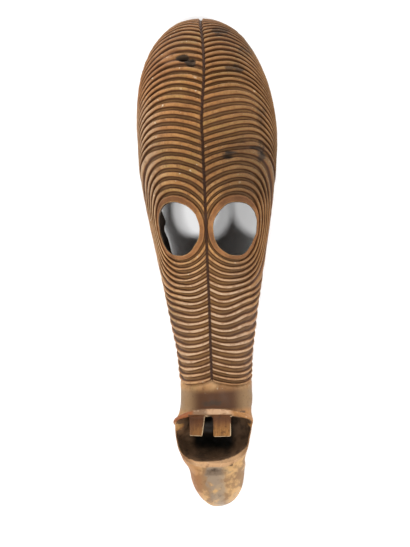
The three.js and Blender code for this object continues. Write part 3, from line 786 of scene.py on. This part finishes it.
def lower_row(side, v, lift, straight=0.0, y_to=0.0, spine_gap=0.0):
    """A plain row along the lower rib line v, raised by lift, or part of the way to a level row."""
    angle, y = rib_points(side, -1, np.full(COLUMNS, float(v)), spine_gap)
    level = np.linspace(0, RIM_ANGLE, len(angle))
    angle = mix(angle, level, straight)
    y = mix(y, y_to, straight)
    points = form(side, angle, y) + normals(side, angle, y) * lift
    points[-1, 2] = 0
    return rag(points)


def make_face():
    """The ribbed part of the mask, from the top of the head to just past the last groove."""
    shell = Shell()
    heart = np.array([0.0, FACE_HEART, HEART_HEIGHT])
    tip = rag(np.array([float(centre_curve(TOP)), TOP, 0.0]))
    rims = {}
    spines = {}
    for side in (1, -1):
        top_rows, top_masks, top_rim, top_spine = face_rows(side, 1)
        low_rows, low_masks, low_rim, low_spine = face_rows(side, -1)
        for v, lift in FACE_END:
            row = lower_row(side, LOWER_RIBS + v, lift, spine_gap=SPINE_GAP)
            low_rows.append(row)
            low_masks.append(low_masks[-1])
            low_rim.append(row[-1])
            low_spine.append(row[0])
        halves = ((top_rows, top_masks, tip, side < 0), (low_rows, low_masks, heart, side > 0))
        for rows, masks, end, flip in halves:
            wall = eye_wall(side, rows[0])
            rows = wall + rows + [gathered(end)]
            edge_rows = len(EYE_EDGE_TURNS) - 1
            wall_masks = [mask_table(COLUMNS, inner=EYE_WALL_TONE)] * (len(wall) - edge_rows)
            edge_masks = [mask_table(COLUMNS)] * edge_rows
            shell.add(rows, flip, wall_masks + edge_masks + masks + [masks[-1]])
        rims[side] = [tip] + top_rim[::-1] + low_rim
        spines[side] = [tip] + top_spine[::-1] + low_spine
    shell.zip(spines[-1], spines[1], True, mask_table(1, spine=1)[0])
    shell.zip(rims[-1], rims[1])
    for line in (rims, spines):
        shell.zip([line[-1][-1], line[-1][-1]], [line[1][-1], heart])
    return shell.build("face")


def muzzle_rows(side):
    """Rows of the plain muzzle and chin, rising out of the last groove."""
    rows = [lower_row(side, LOWER_RIBS + v, lift) for v, lift in MUZZLE_SHOULDER]
    start = LOWER_RIBS + MUZZLE_SHOULDER[-1][0]
    for k in range(1, MUZZLE_ROWS + 1):
        t = k / MUZZLE_ROWS
        y = mix(MUZZLE_FROM, BOTTOM + 0.4, 1 - (1 - t) ** 1.3)
        rows.append(lower_row(side, start, 0.0, min(1, k / MUZZLE_LEVEL_BY), y))
    tip = np.array([float(centre_curve(BOTTOM)), BOTTOM, 0.0])
    rows.append(gathered(tip))
    return rows


def make_muzzle_form():
    """The muzzle and chin before the mouth is cut."""
    shell = Shell()
    heart = np.array([0.0, MUZZLE_HEART, HEART_HEIGHT])
    rims = {}
    for side in (1, -1):
        rows = muzzle_rows(side)
        rims[side] = np.array([row[-1] for row in rows])
        shell.add([gathered(heart)] + rows, side > 0)
    shell.add(np.stack([rims[-1], rims[1]], 1))
    first = np.stack([rims[-1][0], rims[1][0]])
    shell.add([np.stack([heart, heart]), first])
    return shell.build("muzzle")


def muzzle_block(lifts, name):
    """The muzzle's form swollen or shrunk by a lift at the left, in the middle and at the right."""
    rings = []
    for y in np.linspace(*BLOCK_ENDS, BLOCK_ROWS):
        angle = np.linspace(RIM_ANGLE, 0, BLOCK_COLUMNS)
        side_share = smooth_step(angle, *BLOCK_TURNS)[:, None]
        right = form(1, angle, y) + normals(1, angle, y) * mix(lifts[1], lifts[2], side_share)
        left = form(-1, angle, y) + normals(-1, angle, y) * mix(lifts[1], lifts[0], side_share)
        ring = np.concatenate([right, left[-2::-1]])
        ring[:, 1] = y
        feet = np.array([[ring[-1, 0], y, BLOCK_FLOOR], [ring[0, 0], y, BLOCK_FLOOR]])
        rings.append(np.concatenate([ring, feet]))
    return loft(rings, name)


def gap_block():
    """The gap between the jaws, a wedge that opens from the corner of the mouth."""
    upper = CORNER + UPPER_REACH * unit(UPPER_LIP - CORNER)
    lower = CORNER + LOWER_REACH * unit(LOWER_LIP - CORNER)
    return across_muzzle([CORNER, lower, (lower[0], upper[1]), upper], "gap")


def lip(tip, away, proud, thickness, name):
    """A flat band along one edge of the gap, standing a little out of the muzzle."""
    along = unit(tip - CORNER)
    back = np.array([-along[1], along[0]]) * away * thickness
    start = CORNER - along * thickness / 2
    end = tip + LIP_RUNS_ON * along
    band = across_muzzle([start, end, end + back, start + back], name + "_band")
    return combine(muzzle_block(proud, name), band, "INTERSECT")


def ball(centre, radii, name, steps=24, right=None):
    """A rounded lump or hollow, which may reach less far to the right than to the left."""
    rings = []
    spin = np.linspace(0, 2 * math.pi, 2 * steps, endpoint=False)
    for turn in np.linspace(BALL_END, math.pi - BALL_END, steps):
        level = np.full(len(spin), math.cos(turn))
        ring = np.column_stack([math.sin(turn) * np.cos(spin), math.sin(turn) * np.sin(spin), level]) * radii
        if right:
            ring[:, 0] *= np.where(ring[:, 0] > 0, right / radii[0], 1)
        rings.append(ring + centre)
    return loft(rings, name)


def tooth_block(left, right, left_end, right_end, end, left_front, right_front):
    """A square tooth with a bevel round its front, which leans from its left height to its right one."""
    rings = []
    for below, inset in ((TOOTH_THICKNESS, 0.0), (TOOTH_BEVEL, 0.0), (0.0, TOOTH_BEVEL)):
        left_z, right_z = left_front - below, right_front - below
        rings.append(np.array([
            (left + inset, TOOTH_ROOT, left_z - TOOTH_SINK),
            (left_end + inset, end + inset, left_z),
            (right_end - inset, end + inset, right_z),
            (right - inset, TOOTH_ROOT, right_z - TOOTH_SINK),
        ]))
    return loft(rings, "tooth")


def bowl():
    """The bowl of the mouth, in front of the upper lip and inside the jaw's wall."""
    hollow = ball(MOUTH_CENTRE, MOUTH_RADII, "bowl", 28, MOUTH_RIGHT)
    combine(hollow, box_across(MOUTH_BACK, MOUTH_BACK - 100, -40, 160, "keep"), "INTERSECT")
    return combine(hollow, muzzle_block([-JAW_WALL] * 3, "inner"), "INTERSECT")


def vectors_of(obj, kind):
    flat = np.empty(len(obj.data.vertices) * 3)
    obj.data.vertices.foreach_get(kind, flat)
    return flat.reshape(-1, 3)


def points_of(obj):
    """The points of a mesh in millimetres."""
    return vectors_of(obj, "co") / MM


def surface_height(x, y):
    """Height of the plain form over a place on the floor."""
    wide, high, low, power = section(y)
    s = np.clip(np.abs(x - centre_curve(y)) / wide, 0, 1) ** (1 / power)
    c = np.sqrt(1 - s * s)
    return low + (high - low) * c**power + keel_curve(y) * c**12


def lip_mask(points, tip, away, thickness):
    """1 in the band along one edge of the gap, 0 elsewhere."""
    along = unit(tip - CORNER)
    across = np.array([-along[1], along[0]]) * away
    off = (points[:, 1:] - CORNER) @ across
    out = (points[:, 1:] - CORNER) @ along
    inside = smooth_step(off, -2, 0) * (1 - smooth_step(off - thickness, 0, 1.5))
    return inside * smooth_step(out, -8, 0)


# Where the lower lip ends on the right, as y over x
lip_line = curve((18, -292), (20, -280), (30, -275), (42, -268))


def outer_gap(x, y, z):
    """How far points lie inside the outer side walls of the plain form."""
    wide, high, low, power = section(y)
    c = np.clip((z - low) / (high - low), 0, 1) ** (1 / power)
    above = np.sqrt(1 - c * c) ** power
    below = 1 - CURL * np.clip(1 - z / low, 0, 1) ** 2
    return wide * np.where(z > low, above, below) - np.abs(x - centre_curve(y))


def mouth_mask(points):
    """How dark the wood is painted inside the mouth, from 0 outside it to 1: stained wood, with painted shade
    that deepens under the open surface.
    """
    x, y, z = points.T
    edge = CORNER[1] + (y - CORNER[0]) / (LOWER_LIP[0] - CORNER[0]) * (LOWER_LIP[1] - CORNER[1])
    surface = surface_height(x, y)
    depth = np.where(y < CORNER[0], np.minimum(surface, edge), surface) - z
    lowest = np.maximum(mix(*DARK_LOWEST, smooth_step(z, *NEAR_LIP)), lip_line(x))
    inner = smooth_step(depth, *DARK_DEPTH) * smooth_step(y, lowest - 2, lowest)
    inner = inner * (1 - smooth_step(y, *DARK_TOP))
    inner = inner * mix(LOW_TONE, 1, smooth_step(y, *LOW_FADE))
    inner = inner * mix(1, SIDE_TONE, smooth_step(np.abs(x - MOUTH_MIDDLE), *SIDE_FADE))
    inner = inner * smooth_step(outer_gap(x, y, z), *DARK_SKIN)
    for (centre, radii), tone in zip(MOUTH_CORNERS, CORNER_TONES):
        near = np.linalg.norm((points - np.array(centre)) / radii, axis=1)
        inner = mix(inner, np.minimum(inner, tone), 1 - smooth_step(near, 1.02, 1.12))
    return inner


def tooth_masks(points):
    """Masks of the teeth, and of the pale worn edges at their ends and right sides."""
    x, y, z = points.T
    tooth = np.zeros(len(x))
    pale = np.zeros(len(x))
    for left, right, left_end, right_end, end, left_front, right_front in TEETH:
        within = (x > min(left, left_end) - 1) & (x < max(right, right_end) + 1)
        inside = within & (y > end - 1) & (z > TOOTH_MASK_FROM)
        tooth = np.maximum(tooth, inside & (y < MOUTH_BACK + 4))
        edge = np.minimum(y - end, mix(right_end, right, (y - end) / (TOOTH_ROOT - end)) - x)
        front = mix(left_front, right_front, (x - left) / (right - left)) - TOOTH_BEVEL - 1
        worn = inside * (1 - smooth_step(edge, 0.3, 1.5)) * (z > front)
        pale = np.maximum(pale, worn * (y < MOUTH_BACK + 2))
    return tooth, pale


def muzzle_masks(points):
    """Colour masks of the muzzle: the dark inside of the mouth, stained wood with painted shade, the lips, the
    teeth and the stains, with the painted shade under the lower lip.
    """
    x, y = points.T[:2]
    inner = mouth_mask(points)
    tooth, pale = tooth_masks(points)
    upper = lip_mask(points, UPPER_LIP, -1, mix(LIP_THICKNESS, LIP_THINNER, smooth_step(x, 12, 42)))
    lower = lip_mask(points, LOWER_LIP, 1, LOWER_LIP_THICKNESS)
    lips = np.maximum(upper, lower) * (1 - inner) * (1 - tooth)
    stain = spots(STAINS_AND_SHADE, x, y, points)
    return mask_table(len(x), inner=inner * (1 - tooth), lip=lips, tooth=tooth, pale=pale, stain=stain)


def roughen(muzzle, inner):
    """Leaves the marks of the blade in the mouth and, fainter, on the rest of the muzzle."""
    points = points_of(muzzle)
    size = uneven(points, MUZZLE_MARKS) + inner * uneven(points, MOUTH_MARKS)
    points += vectors_of(muzzle, "normal") * (size * smooth_step(-points[:, 1], *MARKS_FROM))[:, None]
    muzzle.data.vertices.foreach_set("co", points.reshape(-1) * MM)


def make_muzzle():
    """The muzzle with lips, mouth and teeth, its edges softened as carved wood's are."""
    muzzle = make_muzzle_form()
    combine(muzzle, lip(UPPER_LIP, -1, UPPER_LIP_PROUD, LIP_THICKNESS, "upper_lip"), "UNION")
    combine(muzzle, lip(LOWER_LIP, 1, LOWER_LIP_PROUD, LOWER_LIP_THICKNESS, "lower_lip"), "UNION")
    combine(muzzle, gap_block(), "DIFFERENCE")
    combine(muzzle, bowl(), "DIFFERENCE")
    for centre, radii in MOUTH_CORNERS:
        corner = combine(ball(centre, radii, "corner", 8), muzzle_block([0.0] * 3, "skin"), "INTERSECT")
        if centre[2] < radii[2]:
            combine(corner, box_across(-170, -320, 0, 160, "above_floor"), "INTERSECT")
        combine(muzzle, corner, "UNION")
    combine(muzzle, ball(*LIP_RECESS, "recess"), "DIFFERENCE")
    for tooth in TEETH:
        combine(muzzle, tooth_block(*tooth), "UNION")
    remesh = muzzle.modifiers.new("remesh", "REMESH")
    remesh.mode = "VOXEL"
    remesh.voxel_size = MUZZLE_VOXEL * MM
    remesh.adaptivity = 0
    soften = muzzle.modifiers.new("soften", "SMOOTH")
    soften.factor = SOFTENING
    soften.iterations = 2
    lighter = muzzle.modifiers.new("lighter", "DECIMATE")
    lighter.ratio = MUZZLE_LIGHTER
    bake(muzzle)
    masks = muzzle_masks(points_of(muzzle))
    roughen(muzzle, masks[:, MASKS["inner"]])
    set_masks(muzzle, masks)
    return muzzle


def hollow_size(y):
    """The hollow's half width and height at y, inside the wall and rounded off at its lower end."""
    over = TOP - HOLLOW_TOP
    wide = half_width(y) - WALL
    high = crown(y) - CROWN_WALL
    if y > WIDEST_AT:
        wide = half_width(y + over * (y - WIDEST_AT) / (HOLLOW_TOP - WIDEST_AT)) * (1 - WALL / HALF_WIDTH)
    if y > DOME_FROM:
        high = crown(y + over * (y - DOME_FROM) / (HOLLOW_TOP - DOME_FROM)) * (1 - CROWN_WALL / CROWN)
    end = 1.0
    if y < HOLLOW_ROUNDS_FROM:
        end = float(rounded((HOLLOW_ROUNDS_FROM - y) / (HOLLOW_ROUNDS_FROM - HOLLOW_BOTTOM), 2.2))
    return float(wide) * end, float(high) * end


def hollow_ring(y):
    """The hollow's outline at y, from its right foot over the arch to its left foot, and under the floor."""
    wide, high = hollow_size(y)
    low = float(widest_height(y)) * high
    centre = float(centre_curve(y))
    angle = np.radians(np.linspace(-90, 90, HOLLOW_COLUMNS))
    arch = np.column_stack([
        centre - wide * np.sin(angle), np.full(HOLLOW_COLUMNS, y), low + (high - low) * np.cos(angle),
    ])
    side = np.linspace(0, 1, HOLLOW_SIDE_STEPS + 1)[:-1]
    bend = (1 - side) ** 2
    foot = np.clip((1 - side) / HOLLOW_FOOT, 0, 1) ** 2 * min(1, wide / HOLLOW_NARROW)
    ragged = [uneven([reach, y, 0], HOLLOW_EDGE) for reach in (-60, 60)]
    left_bend = mix(CURL, curl(-1, y), HOLLOW_CURL) * bend
    right_x = centre + wide * (1 - curl(1, y) * bend) + foot * ragged[1]
    left_x = centre - wide * (1 - left_bend) + foot * (float(left_edge(y)) + ragged[0])
    right = np.column_stack([right_x, np.full(len(side), y), low * side])
    left = np.column_stack([left_x, np.full(len(side), y), low * side])[::-1]
    ring = np.concatenate([right, arch, left])
    scoops = uneven(ring * (1, SCOOP_LENGTH, 1), SCOOPS) + uneven(ring, SWELLS) + SCOOPS_MEAN
    away = ring - np.array([centre, y, low])
    away /= np.maximum(np.linalg.norm(away, axis=1, keepdims=True), 1)
    ring = rag(ring + away * scoops[:, None] * np.clip(ring[:, 2:] / SCOOPS_FROM, 0, 1))
    feet = np.array([[left[-1, 0], y, HOLLOW_FLOOR], [right[0, 0], y, HOLLOW_FLOOR]])
    return np.concatenate([ring, feet])


def make_hollow():
    """The hollow behind the face, with the marks of the blade that scooped it out."""
    rings = []
    for t in np.linspace(0, 1, HOLLOW_ROWS):
        even = mix(t, (1 - math.cos(math.pi * t)) / 2, HOLLOW_CLOSER)
        rings.append(hollow_ring(mix(HOLLOW_TOP - 0.5, HOLLOW_BOTTOM + 0.5, even)))
    hollow = loft(rings, "hollow")
    set_masks(hollow, mask_table(len(hollow.data.vertices), inner=HOLLOW_TONE))
    return hollow


def keep_largest(obj):
    """Removes the slivers that cutting can leave beside the one solid."""
    bm = bmesh.new()
    bm.from_mesh(obj.data)
    left = set(bm.verts)
    islands = []
    while left:
        island = {left.pop()}
        edge = list(island)
        while edge:
            near = {link.other_vert(vert) for vert in edge for link in vert.link_edges} & left
            left -= near
            island |= near
            edge = list(near)
        islands.append(island)
    islands.sort(key=len)
    for island in islands[:-1]:
        bmesh.ops.delete(bm, geom=list(island), context="VERTS")
    bm.to_mesh(obj.data)
    bm.free()


def make_mask():
    """The whole mask as one closed mesh."""
    face = make_face()
    combine(face, make_muzzle(), "UNION")
    combine(face, make_hollow(), "DIFFERENCE")
    keep_largest(face)
    face.name = "mask"
    return face


# Camera, worked out from the photograph
EYE_DISTANCE = 1500.0
SCALE = 1.417  # millimetres to a pixel of the photograph at the target's height
YAW = math.radians(2.2)
ROLL = math.radians(-2.34)
TARGET = Vector((-11.1, -15.68, 30.0))
PICTURE_HEIGHT = 547
SENSOR = 24.0

# Floor and light
FLOOR_HALF = 6.0
FLOOR_TONE = 0.92
WALL_LIGHT = 2.8
FAR_WALL = 2.2  # the wall past the top of the head is brighter by this
CEILING_LIGHT = 0.06
WALL_TOP = 0.4  # as the sine of the height above the horizon
CEILING_EDGE = 0.75
LAMPS = (("left_lamp", (-0.24, -0.33, 1), 30), ("right_lamp", (0.5, -0.3, 1), 25))
LAMP_DISTANCE = 2.4
LAMP_SIZE = 0.3
WOOD_EXPOSURE = 0.5  # the light on the wood is brighter than on a white card by the inverse of this


class Nodes:
    """Short ways of adding and linking shader nodes."""

    def __init__(self, tree):
        self.tree = tree

    def node(self, kind, **inputs):
        node = self.tree.nodes.new(kind)
        for name, value in inputs.items():
            self.put(node.inputs[name], value)
        return node

    def put(self, socket, value):
        if isinstance(value, bpy.types.NodeSocket):
            self.tree.links.new(value, socket)
        else:
            socket.default_value = value

    def math(self, kind, a, b=0.0):
        node = self.tree.nodes.new("ShaderNodeMath")
        node.operation = kind
        self.put(node.inputs[0], a)
        self.put(node.inputs[1], b)
        return node.outputs[0]

    def times(self, a, b):
        return self.math("MULTIPLY", a, b)

    def off(self, value, centre):
        """How far a value is from a centre, either way."""
        return self.math("ABSOLUTE", self.math("SUBTRACT", value, centre))

    def ramp(self, value, low, high, to_low=0.0, to_high=1.0, kind="SMOOTHSTEP"):
        """A step from one value at low to another at high."""
        node = self.tree.nodes.new("ShaderNodeMapRange")
        node.interpolation_type = kind
        for k, number in enumerate((value, low, high, to_low, to_high)):
            self.put(node.inputs[k], number)
        return node.outputs[0]


def add_camera():
    data = bpy.data.cameras.new("camera")
    data.sensor_fit = "VERTICAL"
    data.sensor_height = SENSOR
    data.lens = SENSOR * EYE_DISTANCE / SCALE / PICTURE_HEIGHT
    data.clip_start = 0.05
    data.clip_end = 50
    camera = bpy.data.objects.new("camera", data)
    turned = Matrix.Rotation(YAW, 4, "Y") @ Matrix.Rotation(ROLL, 4, "Z")
    away = Matrix.Translation((0, 0, EYE_DISTANCE * MM))
    camera.matrix_world = Matrix.Translation(TARGET * MM) @ turned @ away
    bpy.context.scene.collection.objects.link(camera)
    bpy.context.scene.camera = camera


def add_floor():
    corners = [(x * FLOOR_HALF, y * FLOOR_HALF, 0) for x, y in ((-1, -1), (1, -1), (1, 1), (-1, 1))]
    floor = new_object("floor", corners, [(0, 1, 2, 3)])
    material = bpy.data.materials.new("pale_floor")
    material.use_nodes = True
    shader = material.node_tree.nodes["Principled BSDF"]
    shader.inputs["Base Color"].default_value = (FLOOR_TONE, FLOOR_TONE, FLOOR_TONE, 1)
    shader.inputs["Roughness"].default_value = 0.9
    floor.data.materials.append(material)


def add_world():
    """Bright walls, brightest past the top of the head, and a dim ceiling."""
    world = bpy.data.worlds.new("studio")
    world.use_nodes = True
    sky = Nodes(world.node_tree)
    direction = sky.node("ShaderNodeTexCoord").outputs["Generated"]
    split = sky.node("ShaderNodeSeparateXYZ", Vector=direction).outputs
    height = sky.ramp(split["Z"], WALL_TOP, CEILING_EDGE, WALL_LIGHT, CEILING_LIGHT)
    far = sky.ramp(split["Y"], 0, 1, 1, FAR_WALL, "LINEAR")
    background = world.node_tree.nodes["Background"]
    sky.put(background.inputs["Color"], (1, 1, 1, 1))
    sky.put(background.inputs["Strength"], sky.times(height, far))
    bpy.context.scene.world = world


def add_lamps():
    """Two soft lamps over the chin end that shine in through the eyes."""
    for name, way, power in LAMPS:
        data = bpy.data.lights.new(name, "AREA")
        data.shape = "DISK"
        data.size = LAMP_SIZE
        data.energy = power
        lamp = bpy.data.objects.new(name, data)
        lamp.location = Vector(way).normalized() * LAMP_DISTANCE
        lamp.rotation_euler = (-lamp.location).to_track_quat("-Z", "Y").to_euler()
        bpy.context.scene.collection.objects.link(lamp)


class Paint(Nodes):
    """The wood's material, with its noises, and coats of colour laid over one another."""

    def __init__(self, name):
        self.material = bpy.data.materials.new(name)
        self.material.use_nodes = True
        super().__init__(self.material.node_tree)
        self.shader = self.tree.nodes["Principled BSDF"]
        self.place = self.node("ShaderNodeTexCoord").outputs["Object"]
        self.x, self.y, self.z = self.node("ShaderNodeSeparateXYZ", Vector=self.place).outputs
        self.large = self.noise(14, 3)
        self.middle = self.noise(45, 4)
        self.fine = self.noise(260, 3)
        stretched = self.node("ShaderNodeMapping", Scale=(3.5, 0.35, 3.5), Vector=self.place)
        self.grain = self.noise(60, 5, 0.6, stretched.outputs["Vector"])

    def mask(self, name):
        node = self.node("ShaderNodeAttribute")
        node.attribute_name = name
        return node.outputs["Fac"]

    def noise(self, scale, detail, rough=0.55, where=None):
        where = where or self.place
        node = self.node("ShaderNodeTexNoise", Scale=scale, Detail=detail, Roughness=rough, Vector=where)
        return node.outputs["Fac"]

    def mix(self, share, a, b, kind="MIX"):
        node = self.tree.nodes.new("ShaderNodeMix")
        node.data_type = "RGBA"
        node.blend_type = kind
        self.put(node.inputs[0], share)
        self.put(node.inputs[6], self.colour(a))
        self.put(node.inputs[7], self.colour(b))
        return node.outputs[2]

    def colour(self, value):
        return value if isinstance(value, bpy.types.NodeSocket) else srgb(*value)

    def coats(self, colour, coats):
        """Lays coats of colour, each with its share, over another."""
        for share, coat in coats:
            colour = self.mix(share, colour, coat)
        return colour


def srgb(*colour):
    """The paint for wood that looks like this in the photograph, which is exposed brightly."""
    linear = [(c / 255 / 12.92) if c <= 10 else ((c / 255 + 0.055) / 1.055) ** 2.4 for c in colour]
    return (*[c * WOOD_EXPOSURE for c in linear], 1)


def ridge_colour(p):
    """The tops of the ribs: tan, with paler, redder, darker and worn places, painted shade at the right side
    and at the top of the head, and painted glints.
    """
    x, y = p.x, p.y
    reddish = p.times(p.ramp(x, -0.02, -0.07), p.ramp(y, 0.12, 0.25))
    # Painted shade: the ribs at the right side are darker, as the stronger lamp stands at the left.
    right = p.times(p.ramp(x, -0.01, 0.06), p.ramp(y, -0.1, 0.02))
    nose = p.times(p.ramp(y, 0.02, -0.05), p.ramp(y, -0.19, -0.13))
    nose = p.times(nose, p.ramp(p.off(x, 0), 0.066, 0.03))
    left_edge = p.times(p.ramp(x, -0.055, -0.08), p.ramp(y, 0.24, 0.2))
    # Painted glints of the lamps: pale flecks on the ribs, strongest on the left.
    painted_glints = p.times(p.ramp(p.noise(150, 2), 0.66, 0.74), p.ramp(x, 0.03, -0.02, 0.3, 0.9))
    tan = p.mix(p.ramp(p.large, 0.38, 0.62), (200, 148, 88), (178, 124, 70))
    return p.coats(tan, [
        (p.ramp(p.middle, 0.52, 0.72, 0, 0.6), (214, 172, 118)),
        (p.ramp(p.grain, 0.46, 0.66, 0, 0.45), (140, 92, 50)),
        (p.ramp(p.noise(24, 2), 0.52, 0.66, 0, 0.45), (160, 132, 72)),
        (p.times(reddish, 0.35), (168, 104, 72)),
        (p.times(right, 0.65), (134, 98, 58)),
        # Painted shade: the top of the head, which faces away from the lamps, is greyer and darker.
        (p.times(p.ramp(y, 0.24, 0.33), 0.5), (132, 100, 72)),
        (p.times(nose, 0.75), (206, 178, 148)),
        (p.times(left_edge, 0.6), (202, 170, 136)),
        (p.ramp(p.noise(105, 3), 0.5, 0.68, 0, 0.45), (128, 84, 46)),
        (painted_glints, (240, 220, 184)),
    ])


def band_colour(p):
    """The plain band under the last rib, dark in the middle."""
    return p.mix(p.ramp(p.off(p.x, -0.002), 0.044, 0.02), (148, 116, 80), (84, 52, 28))


def chin_colour(p):
    """The chin, with a grey streak down its middle and painted shade in the notch under the lip."""
    drift = p.math("ADD", p.x, p.times(p.math("SUBTRACT", p.middle, 0.5), 0.06))
    streak = p.times(p.ramp(drift, -0.016, -0.007), p.ramp(drift, 0.011, 0))
    # Painted shade in the notch under the lower lip.
    under_lip_shade = p.ramp(p.off(p.y, -0.2925), 0.006, 0.002, 0, 0.6)
    chin = p.mix(p.ramp(p.middle, 0.46, 0.56), (214, 170, 114), (160, 124, 88))
    return p.coats(chin, [
        (p.ramp(p.x, -0.02, -0.034, 0, 0.6), (166, 106, 58)),
        (p.times(streak, 0.8), (158, 140, 120)),
        (p.times(under_lip_shade, streak), (98, 78, 62)),
    ])


def lip_colour(p):
    upper = p.mix(p.ramp(p.x, -0.012, -0.018), (200, 160, 124), (136, 104, 78))
    upper = p.mix(p.ramp(p.x, -0.032, -0.037), upper, (150, 86, 46))
    upper = p.mix(p.ramp(p.x, 0.014, 0.024), upper, (172, 120, 70))
    lower = p.mix(p.ramp(p.off(p.x, -0.004), 0.026, 0.042), (206, 162, 118), (150, 110, 74))
    return p.coats(p.mix(p.ramp(p.y, -0.228, -0.24), upper, lower), [
        (p.ramp(p.noise(120, 4, 0.65), 0.5, 0.68, 0, 0.6), (128, 84, 52)),
        (p.ramp(p.noise(200, 3), 0.56, 0.7, 0, 0.35), (236, 202, 166)),
    ])


def inside_colour(p, inner):
    """The wood in the mouth and the hollow: dark stained wood, with painted shade that is nearly black where
    it lies deepest.
    """
    specks = p.times(p.ramp(p.noise(130, 5, 0.7), 0.48, 0.7), p.ramp(inner, 0.95, 0.8, 0, 0.5))
    inside = p.mix(p.ramp(inner, 0.3, 0.7), (116, 86, 60), (104, 79, 58))
    return p.coats(inside, [
        (p.ramp(inner, 0.76, 0.97), (10, 9, 6)),
        (specks, (112, 84, 62)),
        (p.ramp(p.noise(90, 3), 0.5, 0.64, 0, 0.5), (34, 25, 18)),
    ])


def tooth_colour(p):
    # Painted shadow of the upper lip: the teeth are darker at their upper part.
    tooth = p.mix(p.ramp(p.y, -0.236, -0.218), (160, 110, 56), (108, 66, 36))
    return p.coats(tooth, [
        (p.ramp(p.grain, 0.4, 0.66, 0, 0.7), (88, 54, 28)),
        (p.ramp(p.noise(150, 4, 0.65), 0.5, 0.66, 0, 0.6), (70, 42, 24)),
        (p.ramp(p.x, -0.008, -0.014, 0, 0.4), (84, 48, 28)),
    ])


def painted_shade(p):
    """Painted shade: how bright the wood is painted over the eyes, at the right side and at the top right, as
    a grey.
    """
    over_eyes = p.times(p.ramp(p.y, 0.07, 0.1), p.ramp(p.y, 0.19, 0.15))
    over_eyes = p.times(over_eyes, p.ramp(p.x, -0.03, 0.03, 0.14, 0.28))
    top_right = p.times(p.ramp(p.y, 0.28, 0.33), p.ramp(p.x, 0.0, 0.03, 0.04, 0.2))
    darker = p.math("ADD", p.math("ADD", over_eyes, p.ramp(p.x, -0.01, 0.06, 0, 0.12)), top_right)
    light = p.math("SUBTRACT", 1.0, darker)
    return p.node("ShaderNodeCombineXYZ", X=light, Y=light, Z=light).outputs[0]


def wood_material():
    p = Paint("carved_wood")
    band = p.times(p.ramp(p.y, -0.168, -0.184), p.ramp(p.y, -0.212, -0.202))
    groove = p.math("ADD", p.mask("groove"), p.times(p.math("SUBTRACT", p.middle, 0.5), 0.25))
    patchy = p.ramp(p.large, 0.4, 0.6)
    blotches = p.math("ADD", p.times(p.math("SUBTRACT", p.noise(85, 5, 0.7), 0.5), 4.0), 0.9)
    inner = p.mask("inner")
    worn = p.times(p.mask("pale"), p.ramp(p.fine, 0.3, 0.5, 0.4, 1))
    wood = p.coats(ridge_colour(p), [
        (band, band_colour(p)),
        (p.ramp(p.y, -0.232, -0.246), chin_colour(p)),
        # The grooves are browner than the ribs, as the wood is there; the darkest brown, on their walls, is
        # painted shade that gathers in them.
        (p.ramp(groove, 0.26, 0.48), p.mix(patchy, (160, 106, 62), (136, 88, 50))),
        (p.ramp(groove, 0.42, 0.56), (94, 60, 34)),
        (p.ramp(groove, 0.64, 0.86), p.mix(patchy, (146, 104, 60), (124, 88, 52))),
        (p.ramp(p.mask("spine"), 0.15, 0.7, 0, 0.9), (72, 46, 34)),
        (p.ramp(p.times(p.mask("stain"), blotches), 0.15, 0.7, 0, 0.85), (66, 50, 36)),
        (p.ramp(p.mask("scar"), 0.1, 0.6, 0, 0.9), (52, 42, 32)),
        (p.ramp(p.fine, 0.55, 0.72, 0, 0.3), (70, 46, 28)),
        (p.mask("lip"), lip_colour(p)),
        (p.ramp(inner, 0.02, 0.3), inside_colour(p, inner)),
        # Darker low down near the floor: dark wood, and painted shade on the foot of the walls, which lies in
        # shadow.
        (p.ramp(p.z, 0.014, 0.006, 0, 0.85), (62, 46, 34)),
        (p.mask("tooth"), tooth_colour(p)),
        (worn, (224, 196, 156)),
    ])
    p.put(p.shader.inputs["Base Color"], p.mix(1.0, wood, painted_shade(p), "MULTIPLY"))
    p.shader.inputs["Specular IOR Level"].default_value = 0.12
    p.put(p.shader.inputs["Roughness"], p.ramp(p.middle, 0.3, 0.7, 0.42, 0.62))
    height = p.math("ADD", p.times(p.grain, 0.6), p.times(p.fine, 0.4))
    bump = p.node("ShaderNodeBump", Strength=0.25, Distance=0.0012, Height=height)
    p.put(p.shader.inputs["Normal"], bump.outputs["Normal"])
    return p.material


def finish_mask():
    """Leans the mask, keeps it on the floor, paints it and ties it to the frame."""
    mask = make_mask()
    points = points_of(mask)
    points[:, 1] -= LEAN * points[:, 0]
    points[:, :2] += PLACE
    points[:, 2] = np.maximum(points[:, 2], 0)
    mesh = mask.data
    mesh.vertices.foreach_set("co", points.reshape(-1) * MM)
    mesh.update()
    mesh.set_sharp_from_angle(angle=math.radians(SHARP_ANGLE))
    mesh.materials.clear()
    mesh.materials.append(wood_material())
    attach(mask, "root")
    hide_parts("carved_mask")


finish_mask()
add_floor()
add_world()
add_lamps()
add_camera()
bpy.context.scene.view_settings.view_transform = "Standard"
